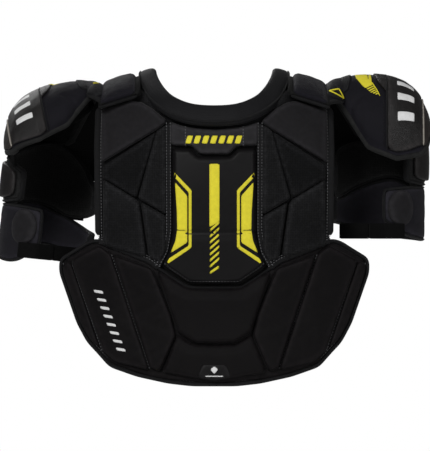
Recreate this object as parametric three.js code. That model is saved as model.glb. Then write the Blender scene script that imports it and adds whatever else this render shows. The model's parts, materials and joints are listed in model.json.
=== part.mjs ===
// Senior ice hockey shoulder pads, opened out as they hang, in millimetres.
// X runs to the wearer's right as the back is seen, +Z is up, and the back faces -Y.
// The origin is the middle of the neck opening, level with the shoulder line.
//
// Nearly every piece is a slab: a flat outline laid on a curved surface and given a thickness. The
// surfaces are the back, the chest, the arch of each shoulder, the bent arch of each cap and the
// round of each upper arm. Paired pieces are drawn once, on the +X side, and mirrored.

import * as THREE from 'three';
import { mergeVertices } from 'three/addons/utils/BufferGeometryUtils.js';

// ---------------------------------------------------------------- driving dimensions

const TORSO_DEPTH = 105; // neck axis to the inner face of the back and of the chest
const TORSO_HALF_WIDTH = 160;
const BACK_CURL = 35; // how far the back's side edge comes forward
const CHEST_CURL = 20;
const SHOULDER_LEAN = 22; // how far the top of the torso leans towards the neck
const LEAN_START = -140;
const LUMBAR_HOLLOW = 10;
const HOLLOW_LEVEL = -265;
const HOLLOW_SPREAD = 80;

// Heights of each layer above the surface that it lies on: inner face, outer face.
const LINER = [0, 4];
const PAD = [6, 18];
const SPINE = [6, 20];
const LUMBAR_PAD = [6, 16];
const EDGE_PAD = [6, 13];
const NECK_TRIM = [0, 14];

const COLLAR_THICKNESS = 13;
const COLLAR_STATIONS = 26;

const YOKE_INNER_X = 104;
const YOKE_PAD_X = [107, 153];
const YOKE_LINER_X = [104, 150];
const YOKE_CREST = 21;
const YOKE_SLOPE = 0.31; // the shoulder falls this much for each millimetre outwards
const YOKE_REACH = 70; // degrees over the shoulder, to the front and to the back
const YOKE_PAD_ARCH = { spread: 86, fall: 26, rise: 2 };
const YOKE_LINER_ARCH = { spread: 60, fall: 22, rise: -4 };
const YOKE_PAD = [0, 17];
const YOKE_LINER_STEPS = [20, 50]; // degrees and millimetres; the middle step is the flat seat

const CAP_HINGE = [154, 0, 28];
const CAP_SHELL = [-6.5, -1.5];
const CAP_LINER = [-13, -8.5];
const CAP_CREST = [0.5, 3];
const CAP_TAB = [0.7, 3.2];

const ARM_HINGE = [283, 0, -47];
const ARM_CENTRE = [222, 0];
const ARM_SPREAD = 56; // half the arm's width inside the guard
const ARM_DEPTH = 46;
const UPPER_GUARD_TOP = -52;
const LOWER_GUARD_TOP = -117;
const GUARD_PAD = [0, 10];
const GUARD_PLATE = [12, 15];
const LOWER_PAD = [0, 9];
const ARM_STRAP_LEVELS = [-187, -166];

const SIDE_STRAP_LEVELS = [-272, -240];
const STRAP_THICKNESS = 3;

const TORSO_STEP = 36; // longest edge of a facet
const TORSO_STEPS = [TORSO_STEP, TORSO_STEP];
const ARM_STEPS = [24, 20]; // along and across, in millimetres or degrees

// How each side hangs: the cap's droop and the arm's swing in degrees, the arm's shift, and how far
// the cap's back and front lobes are spread and let down.
const SIDES = [
  { name: 'right', sign: 1, droop: 0, swing: 0, shift: [0, 0, 0], back: [1, 1], front: [1, 1] },
  { name: 'left', sign: -1, droop: 12, swing: 6, shift: [-5, 12, -23], back: [1.3, 0.6], front: [0.92, 0.8] },
];

const FINISH = {
  liner: { color: 0x1d1d1f, roughness: 0.95, metalness: 0 },
  quilt: { color: 0x3a3a3c, roughness: 0.92, metalness: 0 },
  plate: { color: 0x2b292c, roughness: 0.6, metalness: 0 },
  lumbar: { color: 0x363234, roughness: 0.8, metalness: 0 },
  collar: { color: 0x38373a, roughness: 0.85, metalness: 0 },
  neoprene: { color: 0x3d3c44, roughness: 0.85, metalness: 0 },
  leather: { color: 0x3f3c3c, roughness: 0.55, metalness: 0 },
  elastic: { color: 0x232323, roughness: 0.9, metalness: 0 },
};

// ---------------------------------------------------------------- the back, +X half

// Liners are rows of: distance from the middle, then the heights of the bottom and the top edge.
const BACK_LINER = [[0, -249, -38], [34, -247, -35], [62, -229, -28], [88, -211, -13], [102, -205.5, -8],
  [157, -184, -17]];
const LUMBAR_LINER = [[0, -386, -254], [36, -382, -253], [62, -380, -236], [88, -376, -217.5],
  [102, -371, -211.5]];
const WING_LINER = [[104, -371, -211], [140, -358, -197], [158, -338, -190], [170, -325, -193],
  [184, -300, -201], [207, -232, -215]];
// Pads and plates are outlines.
const BACK_PADS = {
  scapula: [[66, -28], [84, -13], [99, -4], [112, -2], [151, -13], [151, -81], [72, -34]],
  blade: [[80, -44], [149, -90], [149, -104], [106, -130], [84, -58]],
  inner: [[66, -35], [77, -43], [82, -60], [101, -131], [66, -152]],
  rib: [[149, -108], [105, -135], [102, -140], [92, -211], [150, -194]],
  waist: [[98, -139], [66, -157], [66, -205], [74, -217], [87, -212]],
};
const SPINE_TOP = [[0, -39.5], [32, -36.5], [47, -33], [60, -28.5], [60, -61], [30, -62], [20, -73], [0, -73]];
const SPINE_UPPER = [[0, -76], [21, -76], [31, -65.5], [57, -64.5], [57, -176], [0, -176]];
const SPINE_LOWER = [[0, -179.5], [57, -179.5], [62, -205], [70, -221], [60, -228], [34, -246], [0, -248]];

const SPINE_LUMBAR = [[0, -255], [36, -254], [63, -237], [76, -232], [56, -290], [49, -312],
  [27, -326], [0, -327]];
const TAIL = [[0, -330.5], [29, -329.5], [50, -316.5], [69, -367], [0, -379]];
const LUMBAR_SIDE = [[86, -228], [135, -211], [86, -359], [75, -364], [54, -318], [60, -291]];
const WING = [[142, -208], [156, -198], [192, -217], [188, -230], [149, -338], [132, -352], [90, -362]];
const WING_EDGE = [[196, -220], [204, -222], [202, -236], [180, -299], [167, -322], [155, -335]];

// ---------------------------------------------------------------- the chest, +X half

const CHEST_LINER = [[0, -190, -76], [30, -190, -72], [62, -190, -55], [88, -190, -24], [98, -190, -16],
  [150, -190, -26], [153, -104, -27], [176, -92, -36]];
const BELLY_LINER = [[0, -330, -203], [60, -316, -203], [112, -300, -203], [144, -258, -203]];
const CHEST_PAD = [[50, -187, -74], [64, -187, -60], [90, -187, -30], [100, -187, -22], [146, -187, -31],
  [149, -101, -32], [172, -89, -41]];
const NECK_TRIM_BAND = [[0, -58], [24, -54], [50, -39], [74, -12], [83, -19], [57, -50], [28, -67], [0, -71]];
const STERNUM = [[0, -82], [44, -78], [45, -187], [0, -187]];
const BELLY_MIDDLE = [[0, -206], [48, -206], [48, -314], [0, -326]];
const BELLY_SIDE = [[52, -206], [143, -206], [139, -260], [110, -296], [52, -311]];

// ---------------------------------------------------------------- collar, +X half, as points in space

const COLLAR_BASE = [[0, -120, -32], [38, -117, -28], [67, -104, -16], [90, -78, 2], [101, -45, 20],
  [105, -12, 36], [104, 14, 42]];
const COLLAR_RIM = [[0, -108, -7], [32, -104, -4], [56, -90, 6], [70, -66, 19], [79, -38, 33],
  [83, -12, 44], [83, 12, 48]];

// ---------------------------------------------------------------- caps, arms and straps, +X side

// The cap's crest, out from the hinge, and its arch at distances along that crest.
const CAP_PROFILE = [[4, -2], [26, 5], [50, 8], [88, 5], [118, -12], [136, -42], [143, -80]];
const CAP_SPREAD = [[0, 40], [25, 55], [50, 72], [90, 84], [130, 82], [190, 70]];
const CAP_FALL = [[0, 38], [25, 60], [50, 85], [90, 92], [130, 80], [190, 60]];
// Pieces on the cap, as rows of: distance along the crest, then degrees over it, minus to the back.
const CAP_ROWS = [[0, -40, 40], [10, -65, 65], [25, -85, 85], [45, -97, 97], [75, -102, 102], [110, -98, 98],
  [140, -85, 85], [165, -55, 55], [178, -25, 25], [182, -12, 12]];
const CAP_CREST_ROWS = [[78, -97, 97], [108, -93, 93], [136, -80, 80]];
const CAP_TAB_ROWS = [[3, -46, 30], [12, -58, 26], [26, -46, 22], [30, -20, 20]];
// Pieces round the arm, as rows of: degrees from the outside by way of the front, then the distances
// down to the top edge and to the bottom edge.
const GUARD_ROWS = [[-50, 18, 56], [-20, 7, 60], [20, 2, 60], [70, 0, 50], [110, 0, 60], [150, 10, 76],
  [180, 26, 72], [195, 36, 62]];
const GUARD_PLATE_ROWS = [[-42, 20, 52], [-20, 10, 56], [20, 5, 56], [60, 4, 48]];
const LOWER_GUARD_ROWS = [[-82, 4, 44], [-50, 1, 64], [0, 0, 71], [30, 0, 70], [70, -10, 66], [110, 0, 56],
  [150, 16, 48], [180, 12, 46], [192, 18, 42]];
const ARM_STRAP_PATH = [[214, -38], [226, -54], [234, -60], [246, -58], [258, -53]];
const ARM_TAB_PATH = [[171, -18], [190, -26], [211.5, -34.5]];
const SIDE_STRAP_PATH = [[188, -42], [187, 10], [173, 60], [156, 100]];

// ---------------------------------------------------------------- surfaces

function lean(z) {
  return SHOULDER_LEAN * (Math.max(z - LEAN_START, 0) / -LEAN_START) ** 2;
}

function onBack(x, z, height) {
  const curl = BACK_CURL * (x / TORSO_HALF_WIDTH) ** 2;
  const hollow = LUMBAR_HOLLOW * Math.exp(-(((z - HOLLOW_LEVEL) / HOLLOW_SPREAD) ** 2));
  return new THREE.Vector3(x, curl + lean(z) + hollow - TORSO_DEPTH - height, z);
}

function onChest(x, z, height) {
  const curl = CHEST_CURL * (x / TORSO_HALF_WIDTH) ** 2;
  return new THREE.Vector3(x, TORSO_DEPTH - curl - lean(z) + height, z);
}

function onYoke(arch) {
  return (degrees, x, height) => {
    const angle = THREE.MathUtils.degToRad(degrees);
    const crest = YOKE_CREST - YOKE_SLOPE * (x - YOKE_INNER_X) + arch.rise;
    const y = (arch.spread + height) * Math.sin(angle);
    const z = crest - arch.fall * (1 - Math.cos(angle)) + height * Math.cos(angle);
    return new THREE.Vector3(x, y, z);
  };
}

const capProfile = new THREE.CatmullRomCurve3(CAP_PROFILE.map(([x, z]) => new THREE.Vector3(x, 0, z)));
const capLength = capProfile.getLength();

function capPoint(along, degrees, side) {
  const angle = THREE.MathUtils.degToRad(degrees);
  const [spread, fall] = degrees < 0 ? side.back : side.front;
  const point = capProfile.getPointAt(THREE.MathUtils.clamp(along / capLength, 0, 1));
  point.y = spread * between(CAP_SPREAD, along) * Math.sin(angle);
  point.z -= fall * between(CAP_FALL, along) * (1 - Math.cos(angle));
  return point;
}

function onCap(side) {
  return raised((along, degrees) => capPoint(along, degrees, side));
}

function armPoint(degrees, level) {
  const angle = THREE.MathUtils.degToRad(degrees);
  const x = ARM_CENTRE[0] + ARM_SPREAD * Math.cos(angle);
  const y = ARM_CENTRE[1] + ARM_DEPTH * Math.sin(angle);
  return new THREE.Vector3(x, y, level);
}

function onArm(top) {
  return raised((degrees, down) => armPoint(degrees, top - down), -1);
}

// A surface with a height: the point moved along the surface's own normal.
function raised(surface, way = 1) {
  const nudge = 0.5;
  return (u, v, height) => {
    const alongU = surface(u + nudge, v).sub(surface(u - nudge, v));
    const alongV = surface(u, v + nudge).sub(surface(u, v - nudge));
    const normal = alongU.cross(alongV).normalize();
    return surface(u, v).addScaledVector(normal, way * height);
  };
}

function mirrored(surface, sign) {
  return (...at) => {
    const point = surface(...at);
    point.x *= sign;
    return point;
  };
}

// The value of a table of [place, value] rows at a place between them.
function between(table, place) {
  const last = table.length - 2;
  const row = Math.min(Math.max(table.findIndex(([start]) => start > place) - 1, 0), last);
  const found = place >= table[last + 1][0] ? last : row;
  const [[start, low], [end, high]] = [table[found], table[found + 1]];
  return THREE.MathUtils.lerp(low, high, THREE.MathUtils.clamp((place - start) / (end - start), 0, 1));
}

// ---------------------------------------------------------------- building solids

// The triangles that one triangle becomes when some of its edges gain a middle point.
function cut(a, b, c, ab, bc, ca) {
  const count = [ab, bc, ca].filter((middle) => middle !== null).length;
  if (count === 0) return [[a, b, c]];
  if (count === 3) return [[a, ab, ca], [ab, b, bc], [ca, bc, c], [ab, bc, ca]];
  if (count === 1 && ab !== null) return [[a, ab, c], [ab, b, c]];
  if (count === 2 && ca === null) return [[ab, b, bc], [a, ab, c], [ab, bc, c]];
  return cut(b, c, a, bc, ca, ab);
}

// Halves the longest edge of each triangle that is longer than the step, until none is left.
function subdivided(geometry, step) {
  const source = geometry.getAttribute('position');
  const points = Array.from({ length: source.count }, (_, i) => {
    return new THREE.Vector3().fromBufferAttribute(source, i);
  });
  const index = Array.from(geometry.index.array);
  const key = (a, b) => `${Math.min(a, b)} ${Math.max(a, b)}`;
  const reach = (a, b) => Math.hypot(points[a].x - points[b].x, points[a].y - points[b].y);
  let faces = Array.from({ length: index.length / 3 }, (_, i) => index.slice(3 * i, 3 * i + 3));
  for (;;) {
    const middles = new Map();
    for (const [a, b, c] of faces) {
      const [[from, to]] = [[a, b], [b, c], [c, a]].sort((one, two) => reach(...two) - reach(...one));
      if (reach(from, to) > step && !middles.has(key(from, to))) {
        middles.set(key(from, to), points.push(points[from].clone().lerp(points[to], 0.5)) - 1);
      }
    }
    if (middles.size === 0) return { points, faces };
    const middle = (a, b) => middles.get(key(a, b)) ?? null;
    faces = faces.flatMap(([a, b, c]) => cut(a, b, c, middle(a, b), middle(b, c), middle(c, a)));
  }
}

// A closed geometry from points and triangles, turned inside out if its volume comes out negative.
function solid(points, faces) {
  const volume = faces.reduce((sum, [a, b, c]) => {
    return sum + points[a].dot(points[b].clone().cross(points[c]));
  }, 0);
  const geometry = new THREE.BufferGeometry().setFromPoints(points);
  geometry.setIndex(faces.flatMap(([a, b, c]) => (volume < 0 ? [a, c, b] : [a, b, c])));
  geometry.computeVertexNormals();
  return geometry;
}

// An outline laid on a surface between two heights.
function slab(outline, surface, [low, high], step = TORSO_STEP) {
  const shape = new THREE.Shape(outline.map(([u, v]) => new THREE.Vector2(u, v)));
  const flat = new THREE.ExtrudeGeometry(shape, { depth: 1, bevelEnabled: false });
  flat.deleteAttribute('normal');
  flat.deleteAttribute('uv');
  const { points, faces } = subdivided(mergeVertices(flat), step);
  const laid = points.map(({ x, y, z }) => surface(x, y, THREE.MathUtils.lerp(low, high, z)));
  return solid(laid, faces);
}

// A piece whose two long edges are given as rows of [place, low edge, high edge], laid on a surface
// between two heights. Each station along it is a ring of points: out along one face, back on the other.
function strip(rows, surface, [low, high], [alongStep, acrossStep] = ARM_STEPS) {
  const columns = Math.ceil(Math.max(...rows.map(([, from, to]) => to - from)) / acrossStep);
  const lows = rows.map(([place, from]) => [place, from]);
  const highs = rows.map(([place, , to]) => [place, to]);
  const places = rows.flatMap(([start], i) => {
    if (i + 1 === rows.length) return [start];
    const reach = rows[i + 1][0] - start;
    const parts = Math.ceil(reach / alongStep);
    return Array.from({ length: parts }, (_, k) => start + (reach * k) / parts);
  });
  const sections = places.map((place) => {
    const [from, to] = [between(lows, place), between(highs, place)];
    const across = Array.from({ length: columns + 1 }, (_, k) => THREE.MathUtils.lerp(from, to, k / columns));
    return [
      ...across.map((v) => surface(place, v, low)),
      ...across.toReversed().map((v) => surface(place, v, high)),
    ];
  });
  return loft(sections);
}

// A skin through rings that all have the same even number of points, closed at both ends.
function loft(sections) {
  const size = sections[0].length;
  const faces = [];
  for (let row = 0; row + 1 < sections.length; row += 1) {
    for (let i = 0; i < size; i += 1) {
      const [a, b] = [row * size + i, row * size + ((i + 1) % size)];
      faces.push([a, b, b + size], [a, b + size, a + size]);
    }
  }
  const end = (sections.length - 1) * size;
  for (let i = 0; 2 * i + 2 < size; i += 1) {
    const [a, b, c, d] = [i, i + 1, size - 2 - i, size - 1 - i];
    faces.push([a, c, b], [a, d, c], [end + a, end + b, end + c], [end + a, end + c, end + d]);
  }
  return solid(sections.flat(), faces);
}

// A flat band that stands on edge along a path seen from above.
function band(path, [bottom, top], sign) {
  const sections = path.map(([x, y], i) => {
    const [fromX, fromY] = path[Math.max(i - 1, 0)];
    const [toX, toY] = path[Math.min(i + 1, path.length - 1)];
    const across = new THREE.Vector2(toY - fromY, fromX - toX).setLength(STRAP_THICKNESS / 2);
    return [[1, bottom], [1, top], [-1, top], [-1, bottom]].map(([face, z]) => {
      return new THREE.Vector3(sign * (x + face * across.x), y + face * across.y, z);
    });
  });
  return loft(sections);
}

// The whole outline of a piece that lies across the middle, from its +X half.
function across(half) {
  const rest = half.slice(1, -1).reverse();
  return [...half, ...rest.map(([x, z]) => [-x, z])];
}

// The same for a piece given as rows.
function bothWays(rows) {
  return [...rows.slice(1).reverse().map(([x, low, high]) => [-x, low, high]), ...rows];
}

function piece(name, finish, geometry) {
  const mesh = new THREE.Mesh(geometry, new THREE.MeshStandardMaterial(FINISH[finish]));
  mesh.name = name;
  return mesh;
}

// ---------------------------------------------------------------- back, lumbar, chest and belly

function backPieces() {
  return [
    piece('back_liner', 'liner', strip(bothWays(BACK_LINER), onBack, LINER, TORSO_STEPS)),
    piece('spine_top_panel', 'plate', slab(across(SPINE_TOP), onBack, SPINE)),
    piece('spine_plate_upper', 'plate', slab(across(SPINE_UPPER), onBack, SPINE)),
    piece('spine_plate_lower', 'plate', slab(across(SPINE_LOWER), onBack, SPINE)),
    piece('collar', 'collar', collar()),
  ];
}

function lumbarPieces() {
  return [
    piece('lumbar_liner', 'liner', strip(bothWays(LUMBAR_LINER), onBack, LINER, TORSO_STEPS)),
    piece('spine_plate_lumbar', 'plate', slab(across(SPINE_LUMBAR), onBack, SPINE)),
    piece('tail_plate', 'plate', slab(across(TAIL), onBack, LUMBAR_PAD)),
  ];
}

function frontPieces() {
  return [
    piece('chest_liner', 'liner', strip(bothWays(CHEST_LINER), onChest, LINER, TORSO_STEPS)),
    piece('front_neck_trim', 'collar', slab(across(NECK_TRIM_BAND), onChest, NECK_TRIM)),
    piece('sternum_plate', 'plate', slab(across(STERNUM), onChest, SPINE)),
    piece('belly_liner', 'liner', strip(bothWays(BELLY_LINER), onChest, LINER, TORSO_STEPS)),
    piece('belly_pad', 'lumbar', slab(across(BELLY_MIDDLE), onChest, PAD)),
  ];
}

function pairedTorsoPieces({ name, sign }) {
  const back = mirrored(onBack, sign);
  const chest = mirrored(onChest, sign);
  const pads = Object.entries(BACK_PADS).map(([pad, outline]) => {
    return piece(`${pad}_pad_${name}`, 'quilt', slab(outline, back, PAD));
  });
  return [
    ...pads,
    piece(`wing_liner_${name}`, 'liner', strip(WING_LINER, back, LINER, TORSO_STEPS)),
    piece(`lumbar_pad_${name}`, 'lumbar', slab(LUMBAR_SIDE, back, LUMBAR_PAD)),
    piece(`wing_pad_${name}`, 'lumbar', slab(WING, back, LUMBAR_PAD)),
    piece(`wing_edge_pad_${name}`, 'lumbar', slab(WING_EDGE, back, EDGE_PAD)),
    piece(`chest_pad_${name}`, 'quilt', strip(CHEST_PAD, chest, PAD, TORSO_STEPS)),
    piece(`belly_side_pad_${name}`, 'lumbar', slab(BELLY_SIDE, chest, PAD)),
    piece(`side_strap_${name}`, 'elastic', band(SIDE_STRAP_PATH, SIDE_STRAP_LEVELS, sign)),
  ];
}

// A padded band round the back of the neck, from one shoulder crest to the other.
function collar() {
  const curve = (half) => {
    const left = half.slice(1).reverse().map(([x, y, z]) => [-x, y, z]);
    return new THREE.CatmullRomCurve3([...left, ...half].map((point) => new THREE.Vector3(...point)));
  };
  const [base, rim] = [curve(COLLAR_BASE), curve(COLLAR_RIM)];
  const sections = Array.from({ length: COLLAR_STATIONS + 1 }, (_, i) => {
    const share = i / COLLAR_STATIONS;
    const [low, high] = [base.getPointAt(share), rim.getPointAt(share)];
    const inward = high.clone().sub(low).cross(base.getTangentAt(share)).setLength(COLLAR_THICKNESS);
    return [low, high, high.clone().add(inward), low.clone().add(inward)];
  });
  return loft(sections);
}

// ---------------------------------------------------------------- shoulders

function yokePieces({ name, sign }) {
  const padRows = [[-YOKE_REACH, ...YOKE_PAD_X], [YOKE_REACH, ...YOKE_PAD_X]];
  const linerRows = [[-YOKE_REACH, ...YOKE_LINER_X], [YOKE_REACH, ...YOKE_LINER_X]];
  const pad = strip(padRows, mirrored(onYoke(YOKE_PAD_ARCH), sign), YOKE_PAD);
  const liner = strip(linerRows, mirrored(onYoke(YOKE_LINER_ARCH), sign), LINER, YOKE_LINER_STEPS);
  return [
    piece(`yoke_pad_${name}`, 'collar', pad),
    piece(`yoke_liner_${name}`, 'liner', liner),
  ];
}

// The cap hangs from a hinge at the end of the shoulder, and droops about it.
function capGroup(side) {
  const surface = mirrored(onCap(side), side.sign);
  const group = new THREE.Group();
  group.position.set(side.sign * CAP_HINGE[0], CAP_HINGE[1], CAP_HINGE[2]);
  group.rotation.y = THREE.MathUtils.degToRad(side.sign * side.droop);
  group.add(
    piece(`cap_shell_${side.name}`, 'neoprene', strip(CAP_ROWS, surface, CAP_SHELL)),
    piece(`cap_liner_${side.name}`, 'liner', strip(CAP_ROWS, surface, CAP_LINER)),
    piece(`cap_crest_${side.name}`, 'leather', strip(CAP_CREST_ROWS, surface, CAP_CREST)),
    piece(`cap_hinge_tab_${side.name}`, 'collar', strip(CAP_TAB_ROWS, surface, CAP_TAB)),
  );
  return group;
}

// ---------------------------------------------------------------- arms

// Both guards of one arm, swung as one about the hinge at the outer edge of the cap.
function armGroup({ name, sign, swing, shift }) {
  const upper = mirrored(onArm(UPPER_GUARD_TOP), sign);
  const lower = mirrored(onArm(LOWER_GUARD_TOP), sign);
  const pieces = [
    piece(`bicep_pad_${name}`, 'liner', strip(GUARD_ROWS, upper, GUARD_PAD)),
    piece(`bicep_plate_${name}`, 'leather', strip(GUARD_PLATE_ROWS, upper, GUARD_PLATE)),
    piece(`lower_bicep_pad_${name}`, 'neoprene', strip(LOWER_GUARD_ROWS, lower, LOWER_PAD)),
    piece(`bicep_strap_${name}`, 'elastic', band(ARM_STRAP_PATH, ARM_STRAP_LEVELS, sign)),
    piece(`strap_tab_${name}`, 'elastic', band(ARM_TAB_PATH, ARM_STRAP_LEVELS, sign)),
  ];
  const hinge = new THREE.Vector3(sign * ARM_HINGE[0], ARM_HINGE[1], ARM_HINGE[2]);
  const inner = new THREE.Group();
  inner.position.copy(hinge).negate();
  inner.add(...pieces);
  const group = new THREE.Group();
  group.position.set(hinge.x + sign * shift[0], hinge.y + shift[1], hinge.z + shift[2]);
  group.rotation.y = THREE.MathUtils.degToRad(-sign * swing);
  group.add(inner);
  return group;
}

// ---------------------------------------------------------------- assembly

const shoulderPads = new THREE.Group();
shoulderPads.add(...backPieces(), ...lumbarPieces(), ...frontPieces());
for (const side of SIDES) {
  shoulderPads.add(...pairedTorsoPieces(side), ...yokePieces(side), capGroup(side), armGroup(side));
}

export default shoulderPads;
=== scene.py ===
# The looks of a set of senior ice hockey shoulder pads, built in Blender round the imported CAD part.
#
# Every soft piece is a closed form laid on one of the part's own surfaces: the back, the chest, the
# arch of each shoulder, the bent arch of each cap and the round of each upper arm. Lengths here are
# millimetres, as in the CAD source, and turn into metres when a mesh is made.
import json
import math

import bpy
import numpy as np
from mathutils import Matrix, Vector
from mathutils.geometry import delaunay_2d_cdt

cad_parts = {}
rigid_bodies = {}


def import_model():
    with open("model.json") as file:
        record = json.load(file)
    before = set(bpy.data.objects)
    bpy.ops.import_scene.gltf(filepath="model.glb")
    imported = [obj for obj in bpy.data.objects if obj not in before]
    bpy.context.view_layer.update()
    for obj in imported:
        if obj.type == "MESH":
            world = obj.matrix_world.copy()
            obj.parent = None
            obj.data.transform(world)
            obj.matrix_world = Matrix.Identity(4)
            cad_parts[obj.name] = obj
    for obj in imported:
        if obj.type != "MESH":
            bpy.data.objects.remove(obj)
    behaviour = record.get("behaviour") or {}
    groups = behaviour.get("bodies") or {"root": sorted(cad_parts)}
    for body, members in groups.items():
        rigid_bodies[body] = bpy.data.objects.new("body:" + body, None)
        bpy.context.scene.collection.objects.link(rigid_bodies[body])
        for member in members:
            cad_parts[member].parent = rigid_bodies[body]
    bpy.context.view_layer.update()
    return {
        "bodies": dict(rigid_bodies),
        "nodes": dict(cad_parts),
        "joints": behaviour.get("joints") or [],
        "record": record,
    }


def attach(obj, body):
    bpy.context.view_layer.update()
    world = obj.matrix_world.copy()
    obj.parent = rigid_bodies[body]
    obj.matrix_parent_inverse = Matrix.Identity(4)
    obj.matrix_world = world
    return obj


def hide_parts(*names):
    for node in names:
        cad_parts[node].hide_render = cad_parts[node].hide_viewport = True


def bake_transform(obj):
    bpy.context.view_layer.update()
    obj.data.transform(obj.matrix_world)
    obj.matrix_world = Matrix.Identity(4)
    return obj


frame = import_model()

MM = 0.001

# ------------------------------------------------------------------ sizes
#
# They are those of the CAD source, except that the back liner and the wing liners reach a little further
# here, to close the gaps at the collar and in the lower hem, and that the left arm's guards have outlines
# of their own.

TORSO_DEPTH = 105
TORSO_HALF_WIDTH = 160
BACK_CURL = 35
CHEST_CURL = 20
SHOULDER_LEAN = 22
LEAN_START = -140
LUMBAR_HOLLOW = 10
HOLLOW_LEVEL = -265
HOLLOW_SPREAD = 80

YOKE_INNER_X = 104
YOKE_CREST = 21
YOKE_SLOPE = 0.31
YOKE_REACH = 70
YOKE_PAD_ARCH = (86, 26, 2)
YOKE_LINER_ARCH = (60, 22, -4)

CAP_HINGE = (154, 0, 28)
CAP_PROFILE = [(4, -2), (26, 5), (50, 8), (88, 5), (118, -12), (136, -42), (143, -80)]
CAP_SPREAD = [(0, 40), (25, 55), (50, 72), (90, 84), (130, 82), (190, 70)]
CAP_FALL = [(0, 38), (25, 60), (50, 85), (90, 92), (130, 80), (190, 60)]

ARM_HINGE = (283, 0, -47)
ARM_CENTRE = (222, 0)
ARM_SPREAD = 56
ARM_DEPTH = 46
UPPER_GUARD_TOP = -52
LOWER_GUARD_TOP = -117
ARM_STRAP_LEVELS = (-187, -166)
SIDE_STRAP_LEVELS = (-272, -240)

# How each side hangs: droop turns a cap about its hinge, swing and shift place an arm, back and front scale
# the spread and the fall of the two halves of a cap's arch, and reach stretches the cap's crest.
SIDES = [
    {"name": "right", "sign": 1, "droop": 0, "swing": 0, "shift": (0, 0, 0), "back": (1, 1), "front": (1, 1),
     "reach": 1},
    {"name": "left", "sign": -1, "droop": 12, "swing": 6, "shift": (-5, 12, -23), "back": (1.3, 0.6),
     "front": (0.92, 0.8), "reach": 1.05},
]

# Outlines on the back, +X half, as (x, z).
BACK_PADS = {
    "scapula": [(66, -28), (84, -13), (99, -4), (112, -2), (151, -13), (151, -81), (72, -34)],
    "blade": [(80, -44), (149, -90), (149, -104), (106, -130), (84, -58)],
    "inner": [(66, -35), (77, -43), (82, -60), (101, -131), (66, -152)],
    "rib": [(149, -108), (105, -135), (102, -140), (92, -211), (150, -194)],
    "waist": [(98, -139), (66, -157), (66, -205), (74, -217), (87, -212)],
}
BACK_LINER = [(0, -249, -30), (34, -247, -27), (62, -229, -16), (88, -211, 3), (96, -208, 13),
              (104, -205, 17), (116, -200, 15), (157, -184, -4)]
LUMBAR_LINER = [(0, -386, -254), (36, -382, -253), (62, -380, -236), (88, -376, -217.5), (104, -371, -211.5)]
WING_LINER = [(100, -372.2, -212), (140, -358, -197), (158, -338, -190), (170, -325, -193), (184, -300, -201),
              (207, -232, -215)]
SPINE_TOP = [(0, -39.5), (32, -36.5), (47, -33), (60, -28.5), (60, -61), (30, -62), (20, -73), (0, -73)]
SPINE_SKIN = [(0, -76), (21, -76), (31, -65.5), (57, -64.5), (57, -179.5), (62, -205), (70, -221), (60, -228),
              (34, -246), (0, -248)]
SPINE_LUMBAR = [(0, -255), (36, -254), (63, -237), (76, -232), (56, -290), (49, -312), (27, -326), (0, -327)]
TAIL = [(0, -330.5), (29, -329.5), (50, -316.5), (69, -367), (0, -379)]
LUMBAR_SIDE = [(86, -228), (135, -211), (86, -359), (75, -364), (54, -318), (60, -291)]
WING = [(142, -208), (156, -198), (192, -217), (188, -230), (149, -338), (132, -352), (90, -362)]
WING_EDGE = [(196, -220), (204, -222), (202, -236), (180, -299), (167, -322), (155, -335)]

# Outlines on the chest, +X half, as (x, z).
CHEST_LINER = [(0, -190, -76), (30, -190, -72), (62, -190, -55), (88, -190, -24), (98, -190, -16),
               (150, -190, -26), (153, -104, -27), (176, -92, -36)]
BELLY_LINER = [(0, -330, -203), (60, -316, -203), (112, -300, -203), (144, -258, -203)]
CHEST_PAD = [(50, -187, -74), (64, -187, -60), (90, -187, -30), (100, -187, -22), (146, -187, -31),
             (149, -101, -32), (172, -89, -41)]
NECK_TRIM_BAND = [(0, -58), (24, -54), (50, -39), (74, -12), (83, -19), (57, -50), (28, -67), (0, -71)]
STERNUM = [(0, -82), (44, -78), (45, -187), (0, -187)]
BELLY_MIDDLE = [(0, -206), (48, -206), (48, -314), (0, -326)]
BELLY_SIDE = [(52, -206), (143, -206), (139, -260), (110, -296), (52, -311)]

COLLAR_BASE = [(0, -120, -32), (38, -117, -28), (67, -104, -16), (90, -78, 2), (101, -45, 20), (105, -12, 36),
               (104, 14, 42)]
COLLAR_RIM = [(0, -108, -7), (32, -104, -4), (56, -90, 6), (70, -66, 19), (79, -38, 33), (83, -12, 44),
              (83, 12, 48)]
COLLAR_THICKNESS = 13

# Pieces on a cap: distance along the crest, then degrees over it, minus to the back.
CAP_ROWS = [(0, -40, 40), (10, -65, 65), (25, -85, 85), (45, -97, 97), (75, -102, 102), (110, -98, 98),
            (140, -85, 85), (165, -55, 55), (178, -25, 25), (182, -12, 12)]
CAP_CREST_ROWS = [(78, -97, 97), (108, -93, 93), (136, -80, 80)]
CAP_TAB_ROWS = [(3, -46, 30), (12, -58, 26), (26, -46, 22), (30, -20, 20)]
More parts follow.
